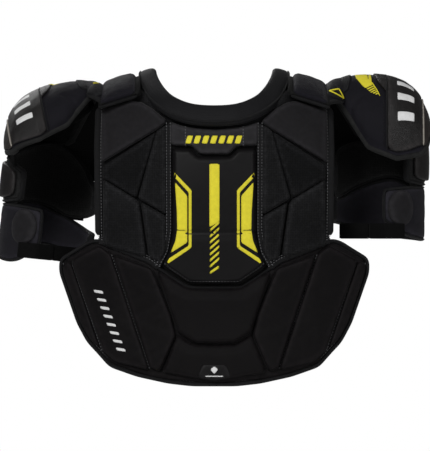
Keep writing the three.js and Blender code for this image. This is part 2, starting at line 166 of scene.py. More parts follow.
# Pieces round an arm: degrees from the outside by way of the front, then how far down each edge is.
GUARD_ROWS = [(-50, 18, 56), (-20, 7, 60), (20, 2, 60), (70, 0, 50), (110, 0, 60), (150, 10, 76),
              (180, 26, 72), (195, 36, 62)]
GUARD_PLATE_ROWS = [(-42, 20, 52), (-20, 10, 56), (20, 5, 56), (60, 4, 48)]
LOWER_GUARD_ROWS = [(-82, 4, 44), (-50, 1, 64), (0, 0, 71), (30, 0, 70), (70, -10, 66), (110, 0, 56),
                    (150, 16, 48), (180, 12, 46), (192, 18, 42)]
LEFT_GUARD_ROWS = [(-50, 18, 56), (-20, 7, 60), (20, -4, 60), (70, -22, 58), (90, -24, 62), (112, -12, 71),
                   (135, 8, 72), (150, 24, 69), (180, 41, 58), (187, 44, 55)]
LEFT_LOWER_GUARD_ROWS = [(-82, 4, 52), (-50, 1, 74), (0, 0, 71), (30, 0, 64), (70, -6, 50), (90, 2, 48),
                         (112, 10, 52), (150, 25, 49), (180, 30, 44), (190, 34, 42)]
ARM_STRAP_PATH = [(211.5, -37.5), (226, -54), (234, -60), (246, -58), (258, -53)]
ARM_TAB_PATH = [(171, -18), (190, -26), (211.5, -34.5)]
SIDE_STRAP_PATH = [(188, -42), (187, 10), (173, 60), (156, 100)]

# Millimetres over a cap, round an arm and over a yoke for each degree, so that outlines can be laid flat.
CAP_ARC = 1.36
ARM_ARC = 0.89
YOKE_ARC = 1.5

# ------------------------------------------------------------------ surfaces


def points(x, y, z):
    return np.stack(np.broadcast_arrays(x, y, z), -1).astype(float)


def lean(z):
    return SHOULDER_LEAN * (np.maximum(z - LEAN_START, 0) / -LEAN_START) ** 2


def on_back(x, z, height):
    curl = BACK_CURL * (x / TORSO_HALF_WIDTH) ** 2
    hollow = LUMBAR_HOLLOW * np.exp(-(((z - HOLLOW_LEVEL) / HOLLOW_SPREAD) ** 2))
    return points(x, curl + lean(z) + hollow - TORSO_DEPTH - height, z)


def on_chest(x, z, height):
    curl = CHEST_CURL * (x / TORSO_HALF_WIDTH) ** 2
    return points(x, TORSO_DEPTH - curl - lean(z) + height, z)


def on_yoke(arch):
    spread, fall, rise = arch

    def surface(reach, x, height):
        angle = np.radians(reach / YOKE_ARC)
        crest = YOKE_CREST - YOKE_SLOPE * (x - YOKE_INNER_X) + rise
        z = crest - fall * (1 - np.cos(angle)) + height * np.cos(angle)
        return points(x, (spread + height) * np.sin(angle), z)

    return surface


def spline(knots, per_span=48):
    """Points closely spaced on a centripetal Catmull-Rom curve through the knots."""
    knots = np.array(knots, float)
    ends = [2 * knots[0] - knots[1], 2 * knots[-1] - knots[-2]]
    knots = np.vstack([ends[0], knots, ends[1]])
    spans = []
    t = np.linspace(0, 1, per_span, endpoint=False)[:, None]
    for before, start, end, after in zip(knots, knots[1:], knots[2:], knots[3:]):
        spans_between = ((before, start), (start, end), (end, after))
        d0, d1, d2 = (math.sqrt(np.linalg.norm(b - a)) for a, b in spans_between)
        out = d1 * ((start - before) / d0 - (end - before) / (d0 + d1) + (end - start) / d1)
        into = d1 * ((end - start) / d1 - (after - start) / (d1 + d2) + (after - end) / d2)
        spans.append(start + out * t + (3 * (end - start) - 2 * out - into) * t**2
                     + (2 * (start - end) + out + into) * t**3)
    return np.vstack([*spans, knots[-2]])


def lengths(path):
    return np.concatenate([[0], np.cumsum(np.linalg.norm(np.diff(path, axis=0), axis=1))])


def respaced(path, step=None, count=None):
    """The same path with points an even distance apart."""
    run = lengths(path)
    count = count or max(int(math.ceil(run[-1] / step)), 1) + 1
    at = np.linspace(0, run[-1], count)
    return np.stack([np.interp(at, run, path[:, k]) for k in range(path.shape[1])], 1)


CAP_CURVE = spline(CAP_PROFILE)
CAP_RUN = lengths(CAP_CURVE)


def table(rows, at):
    return np.interp(at, [row[0] for row in rows], [row[1] for row in rows])


NUDGE = 0.5
TINY = 1e-9


def raised(surface, way=1):
    """A surface with a height along its own normal."""

    def surface_at(u, v, height):
        along_u = surface(u + NUDGE, v) - surface(u - NUDGE, v)
        along_v = surface(u, v + NUDGE) - surface(u, v - NUDGE)
        normal = np.cross(along_u, along_v)
        normal /= np.maximum(np.linalg.norm(normal, axis=-1, keepdims=True), 1e-12)
        return surface(u, v) + way * np.expand_dims(height, -1) * normal

    return surface_at


def turned(at, degrees):
    """Points turned about the Y axis."""
    angle = math.radians(degrees)
    cosine, sine = math.cos(angle), math.sin(angle)
    x, z = at[..., 0], at[..., 2]
    return points(x * cosine + z * sine, at[..., 1], z * cosine - x * sine)


def mirrored(surface, sign):
    return lambda u, v, height: surface(u, v, height) * (sign, 1, 1)


def on_cap(side):
    """(distance along the crest, distance over it, height) on a cap as it hangs."""

    def bare(along, over):
        angle = np.radians(over / CAP_ARC)
        spread = np.where(over < 0, side["back"][0], side["front"][0]) * table(CAP_SPREAD, along)
        fall = np.where(over < 0, side["back"][1], side["front"][1]) * table(CAP_FALL, along)
        x = np.interp(along, CAP_RUN, CAP_CURVE[:, 0]) * side["reach"]
        z = np.interp(along, CAP_RUN, CAP_CURVE[:, 1])
        return points(x, spread * np.sin(angle), z - fall * (1 - np.cos(angle)))

    sign = side["sign"]
    local = mirrored(raised(bare), sign)
    hinge = np.array(CAP_HINGE) * (sign, 1, 1)
    return lambda along, over, height: turned(local(along, over, height), sign * side["droop"]) + hinge


def hung(side, at):
    """Points of an arm, moved to where that arm hangs."""
    sign = side["sign"]
    hinge = np.array(ARM_HINGE) * (sign, 1, 1)
    place = hinge + np.array(side["shift"]) * (sign, 1, 1)
    return turned(at * (sign, 1, 1) - hinge, -sign * side["swing"]) + place


def on_arm(side, top):
    """(distance round the arm from the outside by way of the front, distance down, height) on a guard."""

    def bare(round_arm, down):
        angle = np.radians(round_arm / ARM_ARC)
        x = ARM_CENTRE[0] + ARM_SPREAD * np.cos(angle)
        return points(x, ARM_CENTRE[1] + ARM_DEPTH * np.sin(angle), top - down)

    local = raised(bare, -1)
    return lambda round_arm, down, height: hung(side, local(round_arm, down, height))


ZOOMS = 4
SPOTS = 48


def seen_from_behind(surface, u_range, v_range):
    """Turns (x, z) places as seen from behind into the flat places of a surface that they fall on."""

    def nearest_spot(x, z):
        ranges = [u_range, v_range]
        for _ in range(ZOOMS):
            u, v = (g.ravel() for g in np.meshgrid(*(np.linspace(*span, SPOTS) for span in ranges)))
            at = surface(u, v, np.zeros(len(u)))
            best = np.argmin((at[:, 0] - x) ** 2 + (at[:, 2] - z) ** 2)
            steps = [2 * (high - low) / SPOTS for low, high in ranges]
            ranges = [(spot - step, spot + step) for spot, step in zip((u[best], v[best]), steps)]
        return float(u[best]), float(v[best])

    return lambda path: [nearest_spot(x, z) for x, z in path]


# ------------------------------------------------------------------ outlines


def across(half):
    """A whole outline from its +X half."""
    return list(half) + flipped(half[-2:0:-1], -1)


def flipped(path, sign):
    return [(sign * x, z) for x, z in path]


def both_ways(rows):
    return [(-x, low, high) for x, low, high in rows[:0:-1]] + list(rows)


def edges(rows, scale):
    """The two long edges of a piece given as rows of (place, low edge, high edge)."""
    along, over = scale
    return [[(row[0] * along, row[k] * over) for row in rows] for k in (1, 2)]


def around(rows, scale=(1, 1)):
    """The outline of a piece given as rows."""
    lows, highs = edges(rows, scale)
    return lows + highs[::-1]


def flowing(rows, scale):
    """The outline of a piece given as rows, with both long edges smooth."""
    lows, highs = (spline(edge, 6) for edge in edges(rows, scale))
    return [tuple(p) for p in np.vstack([lows, highs[::-1]])]


CORNER_POINTS = 6
LONGEST_CUT = 0.48  # of the straight between two corners


def rounded(outline, radius, closed=True):
    """The outline with each corner cut back by about the radius and made a smooth turn."""
    outline = np.array(outline, float)
    count = len(outline)
    turn = np.linspace(0, 1, CORNER_POINTS)[:, None]
    path = []
    for i in range(count):
        corner = outline[i]
        if not closed and i in (0, count - 1):
            path.append(corner[None])
            continue
        before, after = outline[i - 1], outline[(i + 1) % count]
        start, end = (corner + arm * min(radius / max(np.linalg.norm(arm), TINY), LONGEST_CUT)
                      for arm in (before - corner, after - corner))
        path.append((1 - turn) ** 2 * start + 2 * turn * (1 - turn) * corner + turn**2 * end)
    return np.vstack(path)


def area_of(rim):
    x, y = rim.T
    return 0.5 * float(np.sum(x * np.roll(y, -1) - np.roll(x, -1) * y))


def grown(outline, by):
    """An outline moved outwards."""
    rim = np.array(outline, float)
    way = 1 if area_of(rim) > 0 else -1
    ahead = np.roll(rim, -1, 0) - rim
    ahead /= np.linalg.norm(ahead, axis=1, keepdims=True)
    out = np.stack([ahead[:, 1], -ahead[:, 0]], 1) * way
    both = out + np.roll(out, 1, 0)
    return rim + both * (by * 2 / np.maximum(np.sum(both**2, 1), 1))[:, None]


def nearest(at, path, closed=True):
    """Each point's distance from a path, and how far along the path that is."""
    starts = path if closed else path[:-1]
    ends = np.roll(path, -1, 0) if closed else path[1:]
    span = ends - starts
    size = np.maximum(np.linalg.norm(span, axis=1), TINY)
    run = np.concatenate([[0], np.cumsum(size)[:-1]])
    share = np.clip(((at[:, None] - starts) * span).sum(-1) / size**2, 0, 1)
    away = np.linalg.norm(starts + share[..., None] * span - at[:, None], axis=-1)
    best = away.argmin(1)
    rows = np.arange(len(at))
    return away[rows, best], run[best] + share[rows, best] * size[best]


def inside(at, rim):
    x, y = at[:, :1], at[:, 1:]
    x0, y0 = rim.T
    x1, y1 = np.roll(rim, -1, 0).T
    crosses = (y0 > y) != (y1 > y)
    where = x0 + (y - y0) * (x1 - x0) / np.where(np.abs(y1 - y0) < 1e-12, 1e-12, y1 - y0)
    return (np.sum(crosses & (x < where), 1) % 2) == 1


# ------------------------------------------------------------------ meshes

WEAVE = "weave"
# The name of a point attribute: a band near each piece's rim that the materials lighten, partly rubbed wear
# and partly a painted highlight on the shoulder of each puff.
WEAR_AND_HIGHLIGHT = "edge"


def solid(name, at, faces, weave, edge=None):
    """A mesh object from points in millimetres, turned outwards, with a weave map in metres."""
    triangles = np.array([(f[0], f[i], f[i + 1]) for f in faces for i in range(1, len(f) - 1)])
    a, b, c = (at[triangles[:, k]] for k in range(3))
    if np.sum(a * np.cross(b, c)) < 0:
        faces = [tuple(f)[::-1] for f in faces]
    mesh = bpy.data.meshes.new(name)
    mesh.from_pydata((at * MM).tolist(), [], [tuple(int(i) for i in f) for f in faces])
    layer = mesh.uv_layers.new(name=WEAVE)
    corners = np.zeros(len(mesh.loops), int)
    mesh.loops.foreach_get("vertex_index", corners)
    layer.data.foreach_set("uv", (weave[corners] * MM).ravel())
    # The rim band that the materials lighten: partly rubbed wear, partly painted highlight.
    worn_and_lit = mesh.attributes.new(WEAR_AND_HIGHLIGHT, "FLOAT", "POINT")
    worn_and_lit.data.foreach_set("value", np.zeros(len(at)) if edge is None else edge)
    mesh.polygons.foreach_set("use_smooth", [True] * len(mesh.polygons))
    mesh.update()
    made = bpy.data.objects.new(name, mesh)
    bpy.context.scene.collection.objects.link(made)
    return made


def waves(u, v, size):
    """Soft unevenness between -1 and 1, about that many millimetres from hump to hump."""
    k = 2 * math.pi / size
    first = np.sin(k * u + 1.7 * np.sin(0.61 * k * v + 0.4))
    first = first * np.sin(0.83 * k * v + 1.1 * np.sin(0.47 * k * u))
    second = np.sin(1.9 * k * (u + 0.6 * v) + 2.1) * np.sin(1.6 * k * (v - 0.4 * u) + 0.7)
    return 0.7 * first + 0.3 * second


CROWN_REACH = 13
LUMP_SIZE = 34


def puffed(thick, radius, crown=0.0, pucker=0.0, lumps=0.0, relief=None):
    """The height of a stuffed top: round at its rim, crowned, gathered along its seam and a little uneven."""

    def top(u, v, away, along):
        share = np.clip(1 - away / radius, 0, 1)
        height = thick * np.sqrt(np.maximum(1 - share**2, 0)) + crown * (1 - np.exp(-away / CROWN_REACH))
        gathers = np.sin(along * 0.95 + 1.3 * np.sin(along * 0.17)) * np.exp(-away / (0.7 * radius))
        height = height + pucker * gathers * np.minimum(away / 2, 1)
        height = height + lumps * waves(u, v, LUMP_SIZE) * np.minimum(away / radius, 1)
        return height if relief is None else height + relief(u, v, away)

    return top


def bevelled(thick, width, start=0.3, relief=None):
    """The height of a moulded plate: a low rim, then a flat slope up to a flat top."""

    def top(u, v, away, along):
        share = np.clip(away / width, 0, 1)
        eased = share - 0.1 * np.sin(2 * np.pi * share)
        height = thick * (start + (1 - start) * eased) * np.minimum(1, 0.25 + away / 0.8)
        return height if relief is None else height + relief(u, v, away)

    return top


RINGS = (0.5, 1.4, 2.8, 4.6)
ON_RIM = 1e-4
SEWN_WIDTH = 1.2
SWELLING = []


class Form:
    """A closed piece on a surface: low is its underside and top its height above the rim."""

    def __init__(self, outline, surface, low, top, step, corner, side=2.0):
        rim = rounded(outline, corner)
        rim = respaced(np.vstack([rim, rim[:1]]), step)[:-1]
        self.rim = rim if area_of(rim) > 0 else rim[::-1]
        self.surface, self.low, self.top, self.step, self.side = surface, low, top, step, side

    def floor(self, u, v):
        return self.low(u, v) if callable(self.low) else np.full(len(u), float(self.low))

    def level(self, u, v):
        """The height of its top at a point, or of its floor outside it."""
        at = np.stack([u, v], 1)
        away, along = nearest(at, self.rim)
        height = self.floor(u, v) + self.side + self.top(u, v, away, along)
        return np.where(inside(at, self.rim), height, self.floor(u, v))

    def field(self, rings):
        """Points all over it: its rim, rings close inside the rim, and an even field within."""
        rim, step = self.rim, self.step
        ahead = np.roll(rim, -1, 0) - np.roll(rim, 1, 0)
        inward = np.stack([-ahead[:, 1], ahead[:, 0]], 1) / np.linalg.norm(ahead, axis=1, keepdims=True)
        layers = [rim]
        for offset in rings:
            ring = rim + inward * offset
            layers.append(ring[(nearest(ring, rim)[0] > 0.96 * offset) & inside(ring, rim)])
        (x0, y0), (x1, y1) = rim.min(0), rim.max(0)
        xs, ys = np.meshgrid(np.arange(x0, x1, step), np.arange(y0, y1, step * 0.87))
        xs = xs + (np.arange(len(ys)) % 2)[:, None] * step / 2
        even = np.stack([xs.ravel(), ys.ravel()], 1)
        layers.append(even[inside(even, rim) & (nearest(even, rim)[0] > max(rings, default=0) + 0.45 * step)])
        return np.vstack(layers)

    def mesh(self, name, rings=RINGS, wear=3.0, swell=False):
        flat = [Vector(p) for p in self.field(rings)]
        flat, _, faces, *_ = delaunay_2d_cdt(flat, [], [list(range(len(self.rim)))], 1, 1e-5)
        flat = np.array([tuple(p) for p in flat])
        away, along = nearest(flat, self.rim)
        on_rim = away < ON_RIM
        u, v = flat.T
        floor = self.floor(u, v)
        upper = floor + self.side + np.where(on_rim, 0, self.top(u, v, away, along))
        tuck = np.clip(1 - away / self.side, 0, 1)
        lower = floor + self.side * (1 - np.sqrt(1 - tuck**2))
        under = np.arange(len(flat))
        under[~on_rim] = len(flat) + np.arange(np.sum(~on_rim))
        at = np.vstack([self.surface(u, v, upper), self.surface(u, v, lower)[~on_rim]])
        faces = [tuple(f) for f in faces] + [tuple(int(under[i]) for i in f[::-1]) for f in faces]
        # The band peaks that many millimetres in from the rim, on the shoulder of the puff: partly rubbed
        # wear, partly a painted highlight.
        worn_and_lit = np.exp(-(((away - wear) / wear) ** 2))
        made = solid(name, at, faces, np.vstack([flat, flat[~on_rim]]), np.concatenate([worn_and_lit, worn_and_lit[~on_rim]]))
        if swell:
            free = away > SEWN_WIDTH
            sewn = np.concatenate([~free, np.ones(len(at) - len(flat), bool)])
            SWELLING.append((made, np.flatnonzero(sewn).tolist()))
        return made


class Stack:
    """Several forms on one surface, taken as the one skin that their tops make."""

    def __init__(self, *forms):
        self.surface, self.forms = forms[0].surface, forms

    def level(self, u, v):
        return np.max([form.level(u, v) for form in self.forms], 0)


def laid(name, outline, surface, low, top, step, corner, side, **how):
    return Form(outline, surface, low, top, step, corner, side).mesh(name, **how)


SWELL_FRAMES = 14
SWELL_REACH = 2.6
CLOTH = {"vertex_group_mass": "sewn", "mass": 0.3, "quality": 4, "tension_stiffness": 8,
         "compression_stiffness": 8, "shear_stiffness": 4, "bending_stiffness": 0.3, "use_pressure": True,
         "uniform_pressure_force": 4.0}


def places_in(mesh):
    at = np.zeros(3 * len(mesh.vertices))
    mesh.vertices.foreach_get("co", at)
    return at


def swell():
    """Blows the gathered pads up as cloth, held where they are sewn down, and keeps what comes out."""
    for made, sewn in SWELLING:
        made.vertex_groups.new(name="sewn").add(sewn, 1.0, "REPLACE")
        cloth = made.modifiers.new("cloth", "CLOTH")
        for key, value in CLOTH.items():
            setattr(cloth.settings, key, value)
        cloth.settings.effector_weights.gravity = 0
        cloth.point_cache.frame_end = SWELL_FRAMES
    for frame in range(1, SWELL_FRAMES + 1):
        bpy.context.scene.frame_set(frame)
    graph = bpy.context.evaluated_depsgraph_get()
    for made, _ in SWELLING:
        before = places_in(made.data)
        move = (places_in(made.evaluated_get(graph).data) - before).reshape(-1, 3)
        far = np.linalg.norm(move, axis=1, keepdims=True)
        move *= np.minimum(1, SWELL_REACH * MM / np.maximum(far, TINY))
        made.modifiers.clear()
        made.vertex_groups.clear()
        made.data.vertices.foreach_set("co", before + move.ravel())
        made.data.update()
    bpy.context.scene.frame_set(1)


def frames(at, up, closed=False):
    """The side-ways and upward unit directions along a path."""
    ahead = np.roll(at, -1, 0) - np.roll(at, 1, 0) if closed else np.gradient(at, axis=0)
    sideways = np.cross(ahead, up)
    sideways /= np.linalg.norm(sideways, axis=1, keepdims=True)
    upright = np.cross(sideways, ahead)
    upright /= np.linalg.norm(upright, axis=1, keepdims=True)
    return sideways, upright


def lofted(name, rings, weave, closed=False):
    """A skin through rings of points, closed at both ends unless it runs round."""
    count, size = rings.shape[:2]
    faces = []
    for row in range(count if closed else count - 1):
        after = (row + 1) % count
        for i in range(size):
            j = (i + 1) % size
            faces.append((row * size + i, row * size + j, after * size + j, after * size + i))
    if not closed:
        faces.append(tuple(range(size))[::-1])
        faces.append(tuple(range((count - 1) * size, count * size)))
    return solid(name, rings.reshape(-1, 3), faces, weave.reshape(-1, 2))


def gusset(name, first, last, heart, thick, bulge, rows=9):
    """A soft skin between two edges with as many points each, bulging away from the heart between them."""
    share = np.linspace(0, 1, rows)[:, None, None]
    middle = first * (1 - share) + last * share
    normal = np.cross(np.gradient(middle, axis=1), np.gradient(middle, axis=0))
    normal /= np.maximum(np.linalg.norm(normal, axis=-1, keepdims=True), TINY)
    normal *= np.sign(np.sum(normal * (middle - heart), -1, keepdims=True).mean())
    middle = middle + normal * bulge * np.sin(np.pi * share)
    count, columns = rows * first.shape[0], first.shape[0]
    index = np.arange(count).reshape(rows, columns)
    faces = []
    for i in range(rows - 1):
        for j in range(columns - 1):
            quad = [int(q) for q in (index[i, j], index[i, j + 1], index[i + 1, j + 1], index[i + 1, j])]
            faces += [tuple(quad), tuple(q + count for q in quad[::-1])]
    rim = [*index[0], *index[1:, -1], *index[-1, -2::-1], *index[-2:0:-1, 0]]
    faces += [(int(b), int(a), int(a) + count, int(b) + count) for a, b in zip(rim, rim[1:] + rim[:1])]
    at = np.vstack([(middle + normal * half).reshape(-1, 3) for half in (thick / 2, -thick / 2)])
    run = lengths(middle[rows // 2])
    drop = np.linalg.norm(last - first, axis=1).mean() * np.linspace(0, 1, rows)
    weave = np.stack(np.broadcast_arrays(run[None], drop[:, None]), -1).reshape(-1, 2)
    return solid(name, at, faces, np.vstack([weave, weave])), middle


def cloth_sheet(middle):
    """Works out the flat width and length of a gusset's cloth, in metres, and keeps neither."""
    wide = max(lengths(row)[-1] for row in middle) * MM
    long = max(lengths(middle[:, j])[-1] for j in range(middle.shape[1])) * MM


def tape_sheet(path):
    """Works out the length of a path in metres, and keeps it nowhere."""
    lengths(np.array(path, float))[-1] * MM


def on_grid(grid):
    """(distance along, distance across, height) on a skin given as rows of points."""
    rows, columns = grid.shape[:2]
    along = np.linalg.norm(np.diff(grid, axis=1), axis=-1).mean()
    across_rows = np.linalg.norm(np.diff(grid, axis=0), axis=-1).mean()

    def bare(u, v):
        j, i = np.clip(u / along, 0, columns - 1.001), np.clip(v / across_rows, 0, rows - 1.001)
        left, low = j.astype(int), i.astype(int)
        a, b = (j - left)[..., None], (i - low)[..., None]
        near = grid[low, left] * (1 - a) + grid[low, left + 1] * a
        return near * (1 - b) + (grid[low + 1, left] * (1 - a) + grid[low + 1, left + 1] * a) * b

    return raised(bare, 1), along * (columns - 1), across_rows * (rows - 1)


def edge_of(surface, u, v, height):
    """A line of points on a surface."""
    u, v = np.broadcast_arrays(np.asarray(u, float), np.asarray(v, float))
    return surface(u, v, np.full(u.shape, float(height)))


def tube(name, at, up, half_width, half_height, sides=10, closed=False, flat=1.0, tips=(0.45, 0.85)):
    """A bound edge, a line of piping or a strap: an oval section along a path, squarer as flat gets small."""
    sideways, upright = frames(at, up, closed)
    angles = np.linspace(0, 2 * np.pi, sides, endpoint=False)
    sines, cosines = (np.sign(w) * np.abs(w) ** flat for w in (np.sin(angles), np.cos(angles)))
    size = np.ones(len(at))
    if not closed:
        size[[0, -1]] = tips[0]
        size[[1, -2]] = tips[1] if len(at) > 4 else 1
    section = half_width * cosines[:, None] * sideways[:, None]
    section = section + half_height * sines[:, None] * upright[:, None]
    rings = at[:, None] + size[:, None, None] * section
    run = lengths(at)
    weave = np.stack(np.broadcast_arrays(run[:, None], (cosines * half_width)[None]), -1)
    return lofted(name, rings, weave, closed)


def traced(path, surface, height, step=3.0, corner=5.0, closed=False):
    """A path laid on a surface: its points, and the surface's upward direction at each."""
    flat = rounded(path, corner, closed)
    flat = respaced(np.vstack([flat, flat[:1]]) if closed else flat, step)
    flat = flat[:-1] if closed else flat
    u, v = flat.T
    level = height(u, v) if callable(height) else np.full(len(flat), float(height))
    at = surface(u, v, level)
    return at, surface(u, v, level + 1) - at


def piping(name, path, surface, height, half_width, half_height, corner=5.0, closed=False, flat=1.0):
    at, up = traced(path, surface, height, 3, corner, closed)
    return tube(name, at, up, half_width, half_height, 12, closed, flat)


STITCH_PITCH = 4.2
STITCH_LENGTH = 2.7
STITCH_WIDTH = 1.2
STITCH_SIDES = 6
# A stitch's shares of its length and of its width, from end to end.
BEAD = [(-0.5, 0.25), (-0.32, 0.85), (0.0, 1.0), (0.32, 0.85), (0.5, 0.25)]


def stitches(name, path, surface, height):
    """A row of sewn stitches, each a small bead of thread lying along the seam."""
    at, up = traced(path, surface, height, STITCH_PITCH)
    ahead = np.gradient(at, axis=0)
    ahead /= np.linalg.norm(ahead, axis=1, keepdims=True)
    sideways, upright = frames(at, up)
    angles = np.linspace(0, 2 * np.pi, STITCH_SIDES, endpoint=False)
    cosines, sines = np.cos(angles)[:, None], np.sin(angles)[:, None]
    bead = STITCH_SIDES * len(BEAD)
    all_points, faces, weave = [], [], []
    for k in range(len(at)):
        for place, size in BEAD:
            reach, radius = place * STITCH_LENGTH, size * STITCH_WIDTH / 2
            round_it = cosines * sideways[k] + sines * upright[k]
            all_points.append(at[k] + reach * ahead[k] + radius * round_it)
            weave.append(np.stack([np.full(STITCH_SIDES, reach), angles * radius], 1))
        for start in range(k * bead, (k + 1) * bead - STITCH_SIDES, STITCH_SIDES):
            for i in range(STITCH_SIDES):
                j = (i + 1) % STITCH_SIDES
                faces.append((start + i, start + j, start + STITCH_SIDES + j, start + STITCH_SIDES + i))
        faces.append(tuple(range(k * bead, k * bead + STITCH_SIDES))[::-1])
        faces.append(tuple(range((k + 1) * bead - STITCH_SIDES, (k + 1) * bead)))
    return solid(name, np.vstack(all_points), faces, np.vstack(weave))


def ribbon(path, half_width):
    """The outline of a flat tape along a path."""
    path = respaced(rounded(path, 6, closed=False), 5)
    ahead = np.gradient(path, axis=0)
    aside = np.stack([-ahead[:, 1], ahead[:, 0]], 1) / np.linalg.norm(ahead, axis=1, keepdims=True)
    return np.vstack([path + aside * half_width, (path - aside * half_width)[::-1]])


def box_of(corner, size, slant=0.0):
    """A leaning bar, as an outline: its lower left corner, its width and height, and its lean."""
    (x, z), (width, height) = corner, size
    return [(x, z), (x + width, z), (x + width + slant, z + height), (x + slant, z + height)]


# ------------------------------------------------------------------ materials


def wire(tree, kind, inputs=None, **settings):
    """A node with its inputs set, each from a value or from another node's socket."""
    node = tree.nodes.new(kind)
    for key, value in settings.items():
        setattr(node, key, value)
    for key, value in (inputs or {}).items():
        if isinstance(value, bpy.types.NodeSocket):
            tree.links.new(value, node.inputs[key])
        else:
            node.inputs[key].default_value = value
    return node


def math_node(tree, operation, a, b, clamp=False):
    return wire(tree, "ShaderNodeMath", {0: a, 1: b}, operation=operation, use_clamp=clamp).outputs[0]


def scaled(tree, value, by, clamp=False):
    return math_node(tree, "MULTIPLY", value, by, clamp)


def summed(tree, first, second, clamp=False):
    return math_node(tree, "ADD", first, second, clamp)


def stripes(tree, at, pitch, direction, distortion=0.0):
    """Bands that many millimetres apart."""
    node = wire(tree, "ShaderNodeTexWave", {"Vector": at, "Scale": 314 / pitch, "Distortion": distortion},
                wave_type="BANDS", bands_direction=direction)
    return node.outputs["Fac"]


def cells(tree, at, size, feature, randomness):
    return wire(tree, "ShaderNodeTexVoronoi", {"Vector": at, "Scale": 1000 / size, "Randomness": randomness},
                voronoi_dimensions="2D", feature=feature).outputs["Distance"]


def speckle(tree, at, size, detail=2.0):
    return wire(tree, "ShaderNodeTexNoise", {"Vector": at, "Scale": 1000 / size, "Detail": detail},
                noise_dimensions="2D").outputs["Fac"]


def mesh_knit(tree, at):
    holes = cells(tree, at, 3.2, "F1", 0.35)
    return summed(tree, scaled(tree, holes, 1.1), scaled(tree, stripes(tree, at, 1.4, "Y"), 0.3))


def plain_weave(tree, at):
    return scaled(tree, summed(tree, stripes(tree, at, 1.1, "X"), stripes(tree, at, 1.1, "Y")), 0.5)


def jersey(tree, at):
    loops = stripes(tree, at, 0.8, "X", 0.6)
    return summed(tree, scaled(tree, loops, 0.6), scaled(tree, speckle(tree, at, 1.2), 0.5))


def grain(tree, at):
    pores = cells(tree, at, 2.0, "DISTANCE_TO_EDGE", 1.0)
    return summed(tree, scaled(tree, pores, 1.6, True), scaled(tree, speckle(tree, at, 1.0, 4.0), 0.5))


def moulded(tree, at):
    return speckle(tree, at, 0.9, 4.0)


def ribbed(tree, at):
    ribs, picks = stripes(tree, at, 1.6, "Y"), stripes(tree, at, 0.7, "X")
    return summed(tree, scaled(tree, ribs, 0.8), scaled(tree, picks, 0.2))


def grosgrain(tree, at):
    return stripes(tree, at, 1.0, "X")


def material(name, colour, pattern, depth, roughness, sheen=0.0, wear=0.25, weave_shade=0.3, patches=0.2,
             gloss=0.2):
    """A cloth, leather or foam skin: woven relief, uneven colour, and a paler band near its edges that is
    partly rubbed wear and partly painted highlight.
    """
    made = bpy.data.materials.new(name)
    made.use_nodes = True
    tree = made.node_tree
    tree.nodes.clear()
    at = wire(tree, "ShaderNodeUVMap", uv_map=WEAVE).outputs["UV"]
    height = pattern(tree, at)
    broad, fine = speckle(tree, at, 38, 3.0), speckle(tree, at, 6, 4.0)
    # Paler along the rim band, or darker where the amount is below zero: partly rubbed wear, partly a painted
    # highlight where the puffed edges would catch the light.
    worn_and_lit = wire(tree, "ShaderNodeAttribute", attribute_name=WEAR_AND_HIGHLIGHT).outputs["Fac"]
    rubbed_and_lit = scaled(tree, worn_and_lit, summed(tree, fine, 0.35))
    shade = summed(tree, scaled(tree, height, weave_shade), 1 - 0.6 * weave_shade)
    for spots, amount, rest in ((broad, 2 * patches, 1 - patches), (fine, 3 * patches, 1 - 1.5 * patches),
                                (rubbed_and_lit, wear, 1.0)):
        shade = scaled(tree, shade, summed(tree, scaled(tree, spots, amount), rest))
    tinted = wire(tree, "ShaderNodeVectorMath", {0: linear(colour), 3: shade}, operation="SCALE").outputs[0]
    rough = summed(tree, scaled(tree, fine, 0.16), roughness - 0.08, True)
    bumps = {"Height": height, "Strength": 0.6, "Distance": depth * MM}
    bump = wire(tree, "ShaderNodeBump", bumps).outputs[0]
    inputs = {"Base Color": tinted, "Roughness": rough, "Normal": bump, "Sheen Weight": sheen,
              "Sheen Roughness": 0.4, "Specular IOR Level": gloss}
    shader = wire(tree, "ShaderNodeBsdfPrincipled", inputs)
    wire(tree, "ShaderNodeOutputMaterial", {"Surface": shader.outputs[0]})
    return made


def linear(hexadecimal):
    """A colour written as sRGB, as the linear values that a shader takes."""
    parts = [int(hexadecimal[i:i + 2], 16) / 255 for i in (0, 2, 4)]
    return tuple(p / 12.92 if p <= 0.04045 else ((p + 0.055) / 1.055) ** 2.4 for p in parts)


